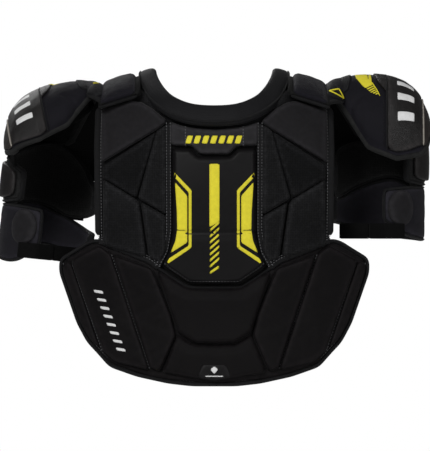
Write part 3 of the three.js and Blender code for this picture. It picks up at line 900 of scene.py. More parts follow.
FINISHES = {
    "quilt": material("quilt_mesh", "161617", mesh_knit, 0.9, 0.8, sheen=0.03, weave_shade=1.1, wear=1.0,
                      patches=0.36, gloss=0.1),
    "quilt_pale": material("quilt_poly", "1f1e20", plain_weave, 0.6, 0.7, sheen=0.06, weave_shade=0.6,
                           wear=0.7, patches=0.25, gloss=0.12),
    "quilt_dark": material("quilt_knit", "111112", mesh_knit, 0.9, 0.85, sheen=0.02, weave_shade=1.1,
                           wear=1.1, patches=0.36, gloss=0.1),
    "collar": material("collar_poly", "131315", plain_weave, 0.3, 0.6, sheen=0.03, weave_shade=0.4,
                       wear=0.6, gloss=0.15),
    "spine_panel": material("moulded_skin", "0f0e0f", moulded, 0.2, 0.5, weave_shade=0.3, patches=0.18,
                            wear=0.9, gloss=0.16),
    "spine_fabric": material("spine_fabric", "2b2a2c", plain_weave, 0.5, 0.65, sheen=0.05, weave_shade=0.6,
                             wear=0.6, gloss=0.12),
    "lumbar": material("lumbar_skin", "0d0b0c", jersey, 0.25, 0.6, sheen=0.02, weave_shade=0.4, wear=1.1,
                       patches=0.3, gloss=0.1),
    "liner": material("mesh_lining", "121212", mesh_knit, 0.8, 0.85, sheen=0.02, weave_shade=0.9, wear=0.8,
                      gloss=0.1),
    "guard": material("guard_lining", "1a1a1a", mesh_knit, 0.8, 0.85, sheen=0.02, weave_shade=0.9, wear=0.8,
                      gloss=0.1),
    "guard_fabric": material("guard_neoprene", "1e1d22", jersey, 0.35, 0.65, sheen=0.05, weave_shade=0.45,
                             wear=0.7, gloss=0.12),
    "cap_fabric": material("neoprene", "131218", jersey, 0.35, 0.65, sheen=0.05, weave_shade=0.45, wear=0.7,
                           gloss=0.12),
    "cap_leather": material("leather", "181616", grain, 0.6, 0.45, weave_shade=0.6, wear=1.1, patches=0.4,
                            gloss=0.25),
    "cap_end": material("end_leather", "2a2523", grain, 0.4, 0.5, weave_shade=0.3, wear=0.5, gloss=0.25),
    "elastic": material("elastic", "070707", ribbed, 0.9, 0.75, sheen=0.02, weave_shade=0.9, gloss=0.1),
    "binding": material("binding_tape", "1c1c1d", grosgrain, 0.6, 0.65, sheen=0.03, weave_shade=0.7,
                        patches=0.3, gloss=0.12),
    "cap_binding": material("cap_binding_tape", "242424", grosgrain, 0.6, 0.65, sheen=0.03, weave_shade=0.6,
                            patches=0.35, gloss=0.12),
    "thread": material("thread", "626264", grosgrain, 0.1, 0.6, sheen=0.05, weave_shade=0.2),
    "end_thread": material("end_thread", "9a948c", grosgrain, 0.2, 0.6, weave_shade=0.2),
    "yellow": material("yellow_print", "ecdf38", moulded, 0.08, 0.5, weave_shade=0.15, patches=0.08,
                       wear=-0.1),
    "pale": material("pale_print", "e8e8e8", moulded, 0.06, 0.5, weave_shade=0.1, patches=0.05, wear=-0.05),
}


def dressed(made, finish, body=None, blend=None, replaces=()):
    """Gives a piece its material, attaches it to its body or, when a blend is given, bakes its place into its
    mesh, and hides the parts it replaces.
    """
    made.data.materials.append(FINISHES[finish])
    if blend:
        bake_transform(made)
    else:
        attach(made, body)
    if replaces:
        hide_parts(*([replaces] if isinstance(replaces, str) else replaces))
    return made


def bound(name, path, surface, height, half_width, half_height, body, finish="binding", **how):
    """A bound edge or a line of piping, in its finish."""
    dressed(piping(name, path, surface, height, half_width, half_height, **how), finish, body)


def sewn(name, path, surface, height, body, finish="thread"):
    dressed(stitches(name, path, surface, height), finish, body)


def above(form, by):
    return lambda u, v: form.level(u, v) + by


def print_on(name, outline, form, finish, body, step=3.0):
    """A printed shape: a thin skin that follows the piece under it."""
    top = bevelled(0.28, 0.5, start=0.6)
    made = laid(name, outline, form.surface, above(form, -0.12), top, step, 0.8, 0.1, rings=(0.5,), wear=0.6)
    dressed(made, finish, body)


def liner(name, outline, surface, body, node):
    made = laid(name, outline, surface, 0, puffed(3, 1.5, lumps=0.15), 6, 4, 1, rings=(0.7, 1.6), wear=4)
    dressed(made, "liner", body, replaces=node)


# ------------------------------------------------------------------ back

LINER_TOP = 4.2
SEW_LIFT = 0.1


def slope_from(path, width, drop):
    """Relief that sinks towards a path, as the bevelled upper edge of a moulded plate does."""
    path = np.array(path, float)

    def relief(u, v, away):
        share = np.clip(nearest(np.stack([u, v], 1), path, closed=False)[0] / width, 0, 1)
        return -drop * (1 - share * share * (3 - 2 * share))

    return relief


def groove(path, width, depth):
    path = np.array(path, float)

    def relief(u, v, away):
        share = np.clip(nearest(np.stack([u, v], 1), path, closed=False)[0] / width, 0, 1)
        return -depth * (1 - share) ** 2

    return relief


def both(*reliefs):
    return lambda u, v, away: sum(relief(u, v, away) for relief in reliefs)


def spine_top_panel():
    top = Form(across(SPINE_TOP), on_back, LINER_TOP, puffed(9.5, 4, 1.6, lumps=0.3), 3.2, 4)
    dressed(top.mesh("spine_top_panel_cover"), "spine_fabric", "back", replaces="spine_top_panel")
    for k in range(7):
        bar = box_of((-39.5 + 11.1 * k, -58.6), (7.8, 11), 3.4)
        print_on(f"print_top_{k + 1}", bar, top, "yellow", "back", step=2)
    for k, x in enumerate((-39, 39)):
        sewn(f"spine_top_stitches_{k + 1}", [(x, -36), (x, -60)], on_back, above(top, SEW_LIFT), "back")


def spine_moulding():
    step_line = groove([(-58, -178), (58, -178)], 2.6, 3.2)
    band = slope_from([(-40, -180.5), (40, -180.5)], 11, 1.6)
    top = bevelled(12.6, 5, relief=both(step_line, band))
    skin = Form(across(SPINE_SKIN), on_back, LINER_TOP, top, 2.6, 4, 1.6)
    dressed(skin.mesh("spine_moulded_skin", wear=2), "spine_panel", "back",
            replaces=("spine_plate_upper", "spine_plate_lower"))
    lower_line = [(-66, -221), (-59, -227), (-33, -244.5), (33, -244.5), (59, -227), (66, -221)]
    sewn("spine_skin_stitches", lower_line, on_back, above(skin, SEW_LIFT), "back")
    return skin


STRIPE_EDGES = (-6.6, 7.1)
STRIPE_BARS = 8
BAR_PITCH = 8.1


def spine_print(skin):
    """The yellow stripe with bars below it, and a block in an open chevron at each side."""
    left, right = STRIPE_EDGES
    stripe = [(left, -85.8), (right, -85.8), (right, -164.1), (left, -171.4)]
    print_on("print_stripe", stripe, skin, "yellow", "back")
    for k in range(STRIPE_BARS):
        start = -178.5 - BAR_PITCH * k
        rise = 12 if k < STRIPE_BARS - 1 else 9
        bar = [(left, start + 4), (left, start), (7, start + rise), (7, start + rise + 4)]
        print_on(f"print_bar_{k + 1}", bar, skin, "yellow", "back")
    filled = [(-53.3, -110), (-36.3, -129), (-36.3, -192), (-59.6, -206.7), (-52.5, -190), (-50, -174.5),
              (-50.5, -150), (-52, -128)]
    chevron = [(-54.5, -96.5), (-30.5, -121.5), (-30.5, -199), (-65.2, -222.6), (-61.4, -213.6),
               (-34.6, -196.2), (-34.6, -124.6), (-54.2, -103.6)]
    for name, sign in (("left", 1), ("right", -1)):
        print_on(f"print_block_{name}", flipped(filled, sign), skin, "yellow", "back")
        print_on(f"print_chevron_{name}", flipped(chevron, sign), skin, "yellow", "back")


PAD_FINISHES = {"scapula": "quilt_pale", "blade": "quilt_dark"}
PAD_GROWTH = {"rib": 1.2, "waist": 1.2}


def back_pads(side):
    surface = mirrored(on_back, side["sign"])
    for name, outline in BACK_PADS.items():
        made = laid(f"{name}_pad_cover_{side['name']}", grown(outline, PAD_GROWTH.get(name, 2.1)), surface,
                    LINER_TOP, puffed(10, 4.5, 3.4, pucker=0.3, lumps=0.5), 3, 4, 1.6, swell=True)
        finish = PAD_FINISHES.get(name, "quilt")
        dressed(made, finish, "back", replaces=f"{name}_pad_{side['name']}")


def facing(name, outline, finish, body):
    """The outer cloth that the pads of a section are sewn down on."""
    made = laid(name, outline, on_back, 3.4, puffed(1.8, 1.2, lumps=0.2), 5, 4, 0.6, rings=(0.8,))
    dressed(made, finish, body)


def facings():
    facing("back_facing", grown(around(both_ways(BACK_LINER)), -1.5), "quilt_dark", "back")
    left_wing = [(-x, low, high) for x, low, high in WING_LINER[::-1]]
    rows = left_wing + both_ways(LUMBAR_LINER)[1:-1] + WING_LINER
    facing("lumbar_facing", grown(around(rows), -3), "lumbar", "lumbar")


def tape(name, path, half_width, surface, low, top, side, rings):
    made = laid(name, ribbon(path, half_width), surface, low, top, 3, 1, side, rings=rings)
    dressed(made, "binding", "back")


def back_trim(side):
    """The bound side of the back, and the tapes over the seams beside the spine and along the waist."""
    surface, name = mirrored(on_back, side["sign"]), side["name"]
    edge = [(156, -10), (157.5, -60), (156.5, -141), (156, -182)]
    bound(f"side_binding_{name}", edge, surface, 4.5, 5.4, 4.4, "back", flat=0.7)
    sewn(f"side_binding_stitches_{name}", [(x - 3.6, z) for x, z in edge], surface, 8.4, "back")
    beside = [(62, -31), (61.5, -178), (66, -204), (76, -222)]
    tape(f"spine_tape_{name}", beside, 4.6, surface, LINER_TOP, bevelled(6.5, 1.4, 0.5), 0.6, (0.8,))
    for k, shift in enumerate((-2.6, 2.6)):
        row = [(x + shift, z) for x, z in beside]
        sewn(f"spine_tape_stitches_{name}_{k + 1}", row, surface, 11.4, "back")
    seam = [(156, -188.5), (87, -216), (74, -226)]
    tape(f"waist_tape_{name}", seam, 5.4, surface, LINER_TOP - 0.4, puffed(4, 2.4, 0.6), 0.8, (0.8, 1.8))
    for k, shift in enumerate((1.8, 5)):
        row = [(x, z + shift) for x, z in seam]
        sewn(f"waist_tape_stitches_{name}_{k + 1}", row, surface, 8.9, "back")


COLLAR_TIP = 0.8
COLLAR_FULLNESS = 0.1
COLLAR_ROWS = 121
COLLAR_SIDES = 36


def squared(wave, power):
    """A wave from 0 to 1 whose shoulders are squarer as the power gets small."""
    return 0.5 + 0.5 * np.sign(wave) * np.abs(wave) ** power


def collar():
    """A padded band round the back of the neck: a puffed section between its base and its rim."""
    base, rim = (respaced(spline([(-x, y, z) for x, y, z in half[:0:-1]] + half), count=COLLAR_ROWS)
                 for half in (COLLAR_BASE, COLLAR_RIM))
    for curve in (base, rim):
        curve[0] += (curve[0] - curve[1]) * COLLAR_TIP
        curve[-1] += (curve[-1] - curve[-2]) * COLLAR_TIP
    rim += (rim - base) * COLLAR_FULLNESS
    upward = rim - base
    inward = np.cross(upward, np.gradient(base, axis=0))
    inward *= COLLAR_THICKNESS / np.linalg.norm(inward, axis=1, keepdims=True)
    angles = np.linspace(0, 2 * np.pi, COLLAR_SIDES, endpoint=False)
    ends = np.minimum(np.arange(COLLAR_ROWS), np.arange(COLLAR_ROWS)[::-1])
    pinch = 1 - 0.16 * np.exp(-ends / 0.9)
    across_band, through = (0.5 + (squared(wave, power)[None] - 0.5) * pinch[:, None]
                            for wave, power in ((np.cos(angles), 0.62), (np.sin(angles), 0.8)))
    rings = base[:, None] + across_band[..., None] * upward[:, None] + through[..., None] * inward[:, None]
    weave = np.stack(np.broadcast_arrays(lengths(base)[:, None], (angles * 9)[None]), -1)
    dressed(lofted("collar_padding", rings, weave), "collar", "back", replaces="collar")
    seam = base + 0.12 * upward + 0.1 * inward
    dressed(tube("collar_piping", seam, -inward, 1.6, 1.6), "binding", "back")


def box_on_yoke(reach, inner, outer):
    return [(-reach, inner), (reach, inner), (reach, outer), (-reach, outer)]


def yoke(side):
    name, sign = side["name"], side["sign"]
    reach = YOKE_REACH * YOKE_ARC
    surface = mirrored(on_yoke(YOKE_PAD_ARCH), sign)
    made = laid(f"yoke_padding_{name}", box_on_yoke(reach, 105.6, 155), surface, 0,
                puffed(14, 8, 3.4, pucker=0.4, lumps=0.7), 3.4, 7, 3, swell=True)
    dressed(made, "cap_fabric", "back", replaces=f"yoke_pad_{name}")
    made = laid(f"yoke_base_{name}", box_on_yoke(reach, 100, 157), surface, -1.5, puffed(12.5, 1.5), 4, 2, 1,
                rings=(0.8, 2))
    dressed(made, "liner", "back")
    for end, way in (("back", -1), ("front", 1)):
        path = [(way * (reach + 1), 104), (way * (reach + 1), 156)]
        bound(f"yoke_piping_{end}_{name}", path, surface, 4, 3, 3.4, "back", flat=0.8)
    under = mirrored(on_yoke(YOKE_LINER_ARCH), sign)
    liner(f"yoke_lining_{name}", box_on_yoke(reach, 104.5, 149.5), under, "back", f"yoke_liner_{name}")


# Places on a shoulder gusset as seen from behind. The left one shows only the top of its triangle.
TRIANGLE = [(156, 10.6), (167, 14.2), (173, 3)]
TRIANGLE_TOP = [(159, 21.5), (165, 21)]
SHOULDER_TAB = [(146, 24), (158, 23), (168, 17), (176, 5), (175, -1), (164, 1), (148, 5)]
GUSSET_SPAN = 67  # degrees over the shoulder, to each side


def shoulder_gusset(side):
    """The cloth that carries a cap from the end of its yoke, bound along its back and front edges."""
    name, sign = side["name"], side["sign"]
    over = np.linspace(-GUSSET_SPAN, GUSSET_SPAN, 60)
    yoke_edge = edge_of(mirrored(on_yoke(YOKE_PAD_ARCH), sign), over * YOKE_ARC, 150, 8)
    cap_edge = edge_of(on_cap(side), 17, over * CAP_ARC, 0)
    bend = ("back", f"{name}_cap", (sign * 150, 0, 20), (sign * 173, 0, 20))
    heart = (sign * 160, 0, -60)
    made, middle = gusset(f"shoulder_gusset_{name}", yoke_edge, cap_edge, heart, 3.4, 4, 16)
    dressed(made, "cap_fabric", blend=bend)
    cloth_sheet(middle)
    for end, column, way in (("back", 0, -1), ("front", -1, 1)):
        path = respaced(middle[:, column], 2.5)
        up = np.tile((0, way, 0.6), (len(path), 1)).astype(float)
        made = tube(f"shoulder_gusset_binding_{end}_{name}", path, up, 3.2, 2.8, 12, flat=0.8)
        dressed(made, "binding", blend=bend)
    surface, long, wide = on_grid(middle)
    rise = edge_of(surface, [long / 2], wide / 2, 1) - edge_of(surface, [long / 2], wide / 2, 0)
    outwards = 1 if rise[0, 2] >= 0 else -1

    def outside(u, v, height):
        return surface(u, v, outwards * height)

    place = seen_from_behind(outside, (0, long * 0.55), (0, wide))
    tab = Form(place(flipped(SHOULDER_TAB, sign)), outside, 1.2, puffed(1.4, 1.2, 0.3), 3, 3, 0.8)
    dressed(tab.mesh(f"shoulder_tab_{name}", rings=(0.6,)), "collar", blend=bend)
    corners = [*TRIANGLE, TRIANGLE[0]] if sign > 0 else TRIANGLE_TOP
    path = respaced(np.array(corners, float), 1.2)
    at, up = traced(place(flipped(path, sign)), outside, 3.6, 1.0, 0.6)
    dressed(tube(f"shoulder_triangle_{name}", at, up, 1.25, 0.6, 10, flat=0.6), "yellow", blend=bend)


# ------------------------------------------------------------------ lumbar and wings


def lumbar():
    liner("lumbar_lining", around(both_ways(LUMBAR_LINER)), on_back, "lumbar", "lumbar_liner")
    upper = [(-76, -232), (-63, -237), (-36, -254), (36, -254), (63, -237), (76, -232)]
    top = bevelled(12, 4, relief=slope_from(upper, 17, 4.5))
    outline = grown(across(SPINE_LUMBAR), 1.6)
    plate = laid("lumbar_moulded_plate", outline, on_back, LINER_TOP, top, 2.8, 5, 1.6, wear=2)
    dressed(plate, "lumbar", "lumbar", replaces="spine_plate_lumbar")
    tail()
    half = [(104, -211), (140, -197), (158, -189), (171, -192), (184, -200.5), (208, -215), (208.5, -232),
            (184.5, -300.5), (170.5, -326), (158, -339), (140.5, -358.5), (104, -371), (62, -380),
            (30, -383.5)]
    low = [(88, -217.5), (62, -236), (36, -253)]
    path = half + flipped(half[::-1], -1) + flipped(low, -1) + low[::-1]
    bound("lumbar_binding", path, on_back, 3.2, 2.6, 4.2, "lumbar", corner=7, closed=True)
    seam = [(0, -381.5), (62, -376), (102, -366), (138, -354), (156, -335.5), (168, -323), (181, -299.5),
            (204, -233), (205, -221)]
    sewn("lumbar_binding_stitches", seam[::-1] + flipped(seam[1:], -1), on_back, 4.6, "lumbar")


def tail():
    """The tail plate, with a small badge that has a plain drop over a bar on it."""
    upper = [(-50, -316.5), (-29, -329.5), (29, -329.5), (50, -316.5)]
    top = bevelled(8.4, 4, relief=slope_from(upper, 15, 3))
    plate = Form(grown(across(TAIL), 1.2), on_back, LINER_TOP, top, 2.8, 5, 1.4)
    dressed(plate.mesh("tail_moulded_plate", wear=2), "lumbar", "lumbar", replaces="tail_plate")
    badge = Form(across([(0, -356.5), (16, -356.5), (23, -374), (0, -378)]), on_back, above(plate, -0.3),
                 bevelled(0.9, 1.2), 3, 2, 0.2)
    dressed(badge.mesh("tail_badge", rings=(0.5, 1.2)), "spine_panel", "lumbar")
    mark = [(-5.5, -363), (0, -358.5), (5.5, -363), (0, -369.5)]
    print_on("tail_mark", mark, badge, "pale", "lumbar")
    bar = [(-13, -371.4), (13, -371.4), (13, -373), (-13, -373)]
    print_on("tail_mark_bar", bar, badge, "pale", "lumbar")


WAIST_GUSSET = 7  # half their widths
BELLY_GUSSET = 9


def hidden_gusset(name, path, half_width, surface, step, blend):
    """A thin strip of cloth along a seam, which two sections bend on."""
    made = laid(name, ribbon(path, half_width), surface, -1.6, puffed(1.4, 0.8), step, 1, 0.4, rings=(0.6,))
    dressed(made, "liner", blend=blend)
    tape_sheet(path)


def waist_gussets():
    """The cloth that the lumbar section bends on, in three lengths along its bent seam."""
    half = [(64, -230), (88, -213.5), (103, -208), (157, -187)]
    middle = [(-70, -226), (-34, -250.5), (34, -250.5), (70, -226)]
    bend = ("back", "lumbar", (0, 0, -247), (0, 0, -254))
    hidden_gusset("waist_gusset_middle", middle, WAIST_GUSSET, on_back, 3, bend)
    for side in SIDES:
        sign = side["sign"]
        bend = ("back", "lumbar", (sign * 121, 0, -199), (sign * 124, 0, -206))
        hidden_gusset(f"waist_gusset_{side['name']}", flipped(half, sign), WAIST_GUSSET, on_back, 3, bend)


WING_PANELS = (("lumbar_pad", LUMBAR_SIDE, 8.6, 1.6), ("wing_pad", WING, 8.6, 2.0),
               ("wing_edge_pad", WING_EDGE, 5.6, 0.8))
WING_CHANNELS = ([(138.6, -209.5), (88, -361)], [(192.4, -224), (152.4, -337)])
WING_BARS = 8


def wing(side):
    surface, name = mirrored(on_back, side["sign"]), side["name"]
    liner(f"wing_lining_{name}", grown(around(WING_LINER), -0.6), surface, "lumbar", f"wing_liner_{name}")
    made = {}
    for panel, outline, thick, crown in WING_PANELS:
        top = puffed(thick, 4, crown, pucker=0.2, lumps=0.6)
        form = Form(grown(outline, 2.2), surface, LINER_TOP, top, 3.4, 5, 1.4)
        made[panel] = form
        dressed(form.mesh(f"{panel}_cover_{name}"), "lumbar", "lumbar", replaces=f"{panel}_{name}")
    for k, path in enumerate(WING_CHANNELS):
        sewn(f"wing_channel_stitches_{name}_{k + 1}", path, surface, 5.6, "lumbar")
    return made


def wing_print(forms):
    """A row of leaning bars down the left wing."""
    start, end = np.array((157, -258)), np.array((126.5, -336))
    ahead = (end - start) / np.linalg.norm(end - start)
    aside = np.array((-ahead[1], ahead[0]))
    for k in range(WING_BARS):
        at = start + (end - start) * k / (WING_BARS - 1)
        bar = [at + aside * x + ahead * z for x, z in ((-5.5, 1.6), (5.5, -4.6), (5.5, -0.2), (-5.5, 6))]
        print_on(f"wing_print_{k + 1}", bar, forms["wing_pad"], "pale", "lumbar", step=2)


# ------------------------------------------------------------------ chest and belly

FLAPS = {"right": [(148, 4), (172, 0), (192, -12), (202, -40), (200, -66), (168, -70), (148, -70)],
         "left": [(148, 4), (170, 2), (196, -22), (210, -70), (203, -104), (148, -110)]}


def front_middle():
    liner("chest_lining", around(both_ways(CHEST_LINER)), on_chest, "chest", "chest_liner")
    liner("belly_lining", around(both_ways(BELLY_LINER)), on_chest, "belly", "belly_liner")
    top = puffed(8, 4.5, 1)
    made = laid("front_neck_trim_cover", across(NECK_TRIM_BAND), on_chest, LINER_TOP, top, 3.4, 3, 1.5)
    dressed(made, "collar", "chest", replaces="front_neck_trim")
    top = bevelled(12.5, 6, relief=groove([(0, -90), (0, -180)], 8, 2.5))
    made = laid("sternum_moulded_plate", across(STERNUM), on_chest, LINER_TOP, top, 3.4, 8, 1.6, wear=2)
    dressed(made, "spine_panel", "chest", replaces="sternum_plate")
    made = laid("belly_pad_cover", across(BELLY_MIDDLE), on_chest, LINER_TOP,
                puffed(11, 6, 1.5, pucker=0.2, lumps=0.5), 4, 8, 1.6)
    dressed(made, "lumbar", "belly", replaces="belly_pad")


def front_pads(side):
    surface, name = mirrored(on_chest, side["sign"]), side["name"]
    made = laid(f"chest_pad_cover_{name}", around(CHEST_PAD), surface, LINER_TOP,
                puffed(11, 7, 2, pucker=0.3, lumps=0.5), 4, 6, 1.6, swell=True)
    dressed(made, "quilt", "chest", replaces=f"chest_pad_{name}")
    made = laid(f"belly_side_pad_cover_{name}", BELLY_SIDE, surface, LINER_TOP,
                puffed(11, 6, 1.5, pucker=0.2, lumps=0.5), 4, 6, 1.6)
    dressed(made, "lumbar", "belly", replaces=f"belly_side_pad_{name}")


def chest_hanger(side):
    """The flap at a shoulder of the chest, and the elastic that hangs the chest from its yoke."""
    surface, name = mirrored(on_chest, side["sign"]), side["name"]
    top = puffed(2.4, 1.6, 0.8, lumps=0.5)
    made = laid(f"chest_wing_flap_{name}", FLAPS[name], surface, -5, top, 4, 6, 0.8, rings=(0.8, 1.8))
    dressed(made, "liner", "chest")
    over = np.linspace(108, 150, 12)
    yoke_edge = edge_of(mirrored(on_yoke(YOKE_PAD_ARCH), side["sign"]), 66 * YOKE_ARC, over, 5)
    chest_edge = edge_of(surface, over, -30, 4)
    made, grid = gusset(f"chest_hanger_{name}", yoke_edge, chest_edge, (0, 0, -40), 3, 1.5)
    dressed(made, "elastic", blend=("back", "chest", (0, 88, 0), (0, 92, -24)))
    cloth_sheet(grid)


def front():
    front_middle()
    for side in SIDES:
        front_pads(side)
    for side in SIDES:
        chest_hanger(side)
    hem = [(x, -190) for x in (150, 98, 30, -30, -98, -150)]
    bound("chest_hem_binding", hem, on_chest, 2.2, 3, 4, "chest")
    half = [(0, -330), (60, -316), (112, -300), (144, -258), (144, -204)]
    bound("belly_binding", flipped(half[:0:-1], -1) + half, on_chest, 2.2, 3, 4, "belly", corner=8)
    edge = [(150, -189), (153, -104), (176, -91), (176, -37), (152, -27), (100, -17), (89, -24)]
    for side in SIDES:
        surface = mirrored(on_chest, side["sign"])
        bound(f"chest_binding_{side['name']}", edge, surface, 2.2, 2.6, 4, "chest")
    seam = [(x, -196.5) for x in (-142, -60, 60, 142)]
    bend = ("chest", "belly", (0, 105, -192), (0, 105, -201))
    hidden_gusset("belly_gusset", seam, BELLY_GUSSET, on_chest, 4, bend)


# ------------------------------------------------------------------ caps

CAP_BARS = 6
CAP_BAR = ((92, -10), (92, 2), (118, 9), (118, -3))
CAP_PATCH = [(79, -44), (66, -30), (60, -4), (60, 50), (66, 74), (79, 84)]
CAP_END = [(139, -80), (150, -72), (163, -52), (177, -22), (177, 22), (163, 52), (150, 72), (139, 80)]
CAP_BULGE = 3.0
LEFT_STRIP = [(52, -6), (64, -12), (72, 26), (60, 32)]
# Seen from behind: a creased seam at the inner end, and the two edges of the right cap's yellow strip.
CAP_CREASE = [(204.4, 8.5), (194, 1), (187.3, -6.6), (184.8, -16), (184.5, -28)]
STRIP_LEFT = [(190, 33.5), (196, 27), (200.6, 21), (210, 12), (225, 6.6)]
STRIP_RIGHT = [(204.4, 35), (211, 29), (214.8, 24.6), (221.4, 14.2), (225, 6.6)]
STRIP_ROWS = 41
SOLID_ROWS = 20
STRIP_BARS = 6


def over_cap(outline):
    """An outline given as distances along a cap and degrees over it, laid flat."""
    return [(along, degrees * CAP_ARC) for along, degrees in outline]


def cap(side):
    surface, name = on_cap(side), side["name"]
    body = f"{name}_cap"
    place = seen_from_behind(surface, (0, 182), (-139, 34))

    def bulge(u, v, away):
        return CAP_BULGE * np.sin(np.pi * np.clip((u - 4) / 72, 0, 1)) * np.clip(away / 14, 0, 1)

    outline = flowing(CAP_ROWS, (1, CAP_ARC))
    relief = both(bulge, groove(place(flipped(CAP_CREASE, side["sign"])), 7, 2.8))
    shell = Form(outline, surface, -6.5, puffed(2.8, 2.5, relief=relief, lumps=0.3), 3.6, 2, 2)
    dressed(shell.mesh(f"cap_shell_cover_{name}"), "cap_fabric", body, replaces=f"cap_shell_{name}")
    lining = laid(f"cap_lining_{name}", outline, surface, -13, puffed(3.4, 2, lumps=0.4), 5, 2, 1.2,
                  rings=(0.8, 2))
    dressed(lining, "liner", body, replaces=f"cap_liner_{name}")
    crest = flowing(CAP_CREST_ROWS, (1, CAP_ARC))
    panel = Form(crest, surface, -1.4, puffed(2.2, 1.6, 0.8, lumps=0.5), 3.6, 2, 1)
    cover = panel.mesh(f"cap_crest_cover_{name}")
    dressed(cover, "cap_leather", body, replaces=f"cap_crest_{name}")
    patch = Form(over_cap(CAP_PATCH), surface, -1.4, puffed(2.6, 1.4, 0.4, lumps=0.4), 3.6, 5, 1)
    dressed(patch.mesh(f"cap_top_patch_{name}", rings=(0.6, 1.4)), "cap_leather", body)
    top = puffed(1.8, 1.6, 0.4, lumps=0.4)
    end = laid(f"cap_end_panel_{name}", over_cap(CAP_END), surface, -1.6, top, 4, 5, 0.8, rings=(0.6, 1.4))
    dressed(end, "cap_end", body)
    bound(f"cap_binding_{name}", outline, surface, -4, 3.9, 4.6, body, "cap_binding", corner=1, closed=True,
          flat=0.8)
    for k, (along, over, finish) in enumerate(((77.5, 97, "binding"), (138, 79, "end_thread"))):
        path = over_cap([(along, -over), (along, over)])
        bound(f"cap_seam_piping_{name}_{k + 1}", path, surface, 1.2, 1.2, 1.4, body, finish)
    seam = over_cap([(73, -94), (73, -52)])
    sewn(f"cap_seam_stitches_{name}", seam, surface, above(shell, SEW_LIFT), body, "binding")

    def under_tab(u, v):
        return np.maximum(shell.level(u, v) - 0.5, -2)

    tab = Form(around(CAP_TAB_ROWS, (1, CAP_ARC)), surface, under_tab, puffed(1.6, 1.5, 0.4), 3, 4, 0.8)
    dressed(tab.mesh(f"cap_hinge_tab_cover_{name}", rings=(0.7, 1.6)), "collar", body,
            replaces=f"cap_hinge_tab_{name}")
    skin = Stack(shell, panel, patch, tab)
    for k in range(CAP_BARS):
        middle = (-62 + 21 * k) * CAP_ARC
        bar = [(u, middle + v) for u, v in CAP_BAR]
        print_on(f"cap_print_{name}_{k + 1}", bar, skin, "pale", body, step=2.4)
    if side["sign"] < 0:
        print_on(f"cap_stripe_{name}", LEFT_STRIP, skin, "yellow", body, step=2.4)
    else:
        cap_strip(name, body, skin, place)


def cap_strip(name, body, skin, place):
    """The yellow strip that runs down over the crest, solid above and barred below."""
    left, right = (respaced(np.array(path, float), count=STRIP_ROWS) for path in (STRIP_LEFT, STRIP_RIGHT))
    rows = slice(0, SOLID_ROWS + 1, 4)
    outline = [*left[rows], *right[rows][::-1]]
    print_on(f"cap_stripe_{name}", place(outline), skin, "yellow", body, step=2.4)
    for k in range(STRIP_BARS):
        first, last = SOLID_ROWS + 1 + 3 * k, SOLID_ROWS + 3 + 3 * k
        bar = [left[first], left[last], right[last], right[first]]
        print_on(f"cap_stripe_bar_{name}_{k + 1}", place(bar), skin, "yellow", body, step=2)
    path = place([*right[14:40:5]])
    bound(f"cap_stripe_edge_{name}", path, skin.surface, above(skin, 0.2), 0.7, 0.5, body, "yellow", corner=2)


def webbing_loop(body):
    """The loop of webbing that shows between the back edge of the left cap and its yoke."""
    knots = [(-180, -34, 0), (-167, -42, -3), (-168, -48, -9), (-180, -50, -20), (-194, -50, -30)]
    at = respaced(spline(knots), 3)
    up = np.tile((0.0, -1.0, 0.4), (len(at), 1))
    dressed(tube("cap_webbing_loop_left", at, up, 3.4, 1, 12, flat=0.5), "elastic", body)


# ------------------------------------------------------------------ arms

PATCH_RADII = (16, 25)


def strap(name, path, levels, place, body, node):
    """A flat elastic strap that stands on edge along a path seen from above."""
    path = respaced(spline(path), 3)
    middle, half = sum(levels) / 2, (levels[1] - levels[0]) / 2
    at = np.column_stack([path, np.full(len(path), middle)])
    ahead = np.gradient(path, axis=0)
    up = np.column_stack([ahead[:, 1], -ahead[:, 0], np.zeros(len(path))])
    at, tip = place(at), place(at + up)
    made = tube(name, at, tip - at, half, 1.5, 20, flat=0.18, tips=(0.94, 1))
    dressed(made, "elastic", body, replaces=node)
    tape_sheet(at)


def guard(name, rows, surface, top, corner, finish, body, node):
    """One padded guard round an arm; it gives back its outline, for the bound edge."""
    outline = flowing(rows, (ARM_ARC, 1))
    made = laid(name, outline, surface, 0.4, top, 4, corner, 3)
    dressed(made, finish, body, replaces=node)
    return outline


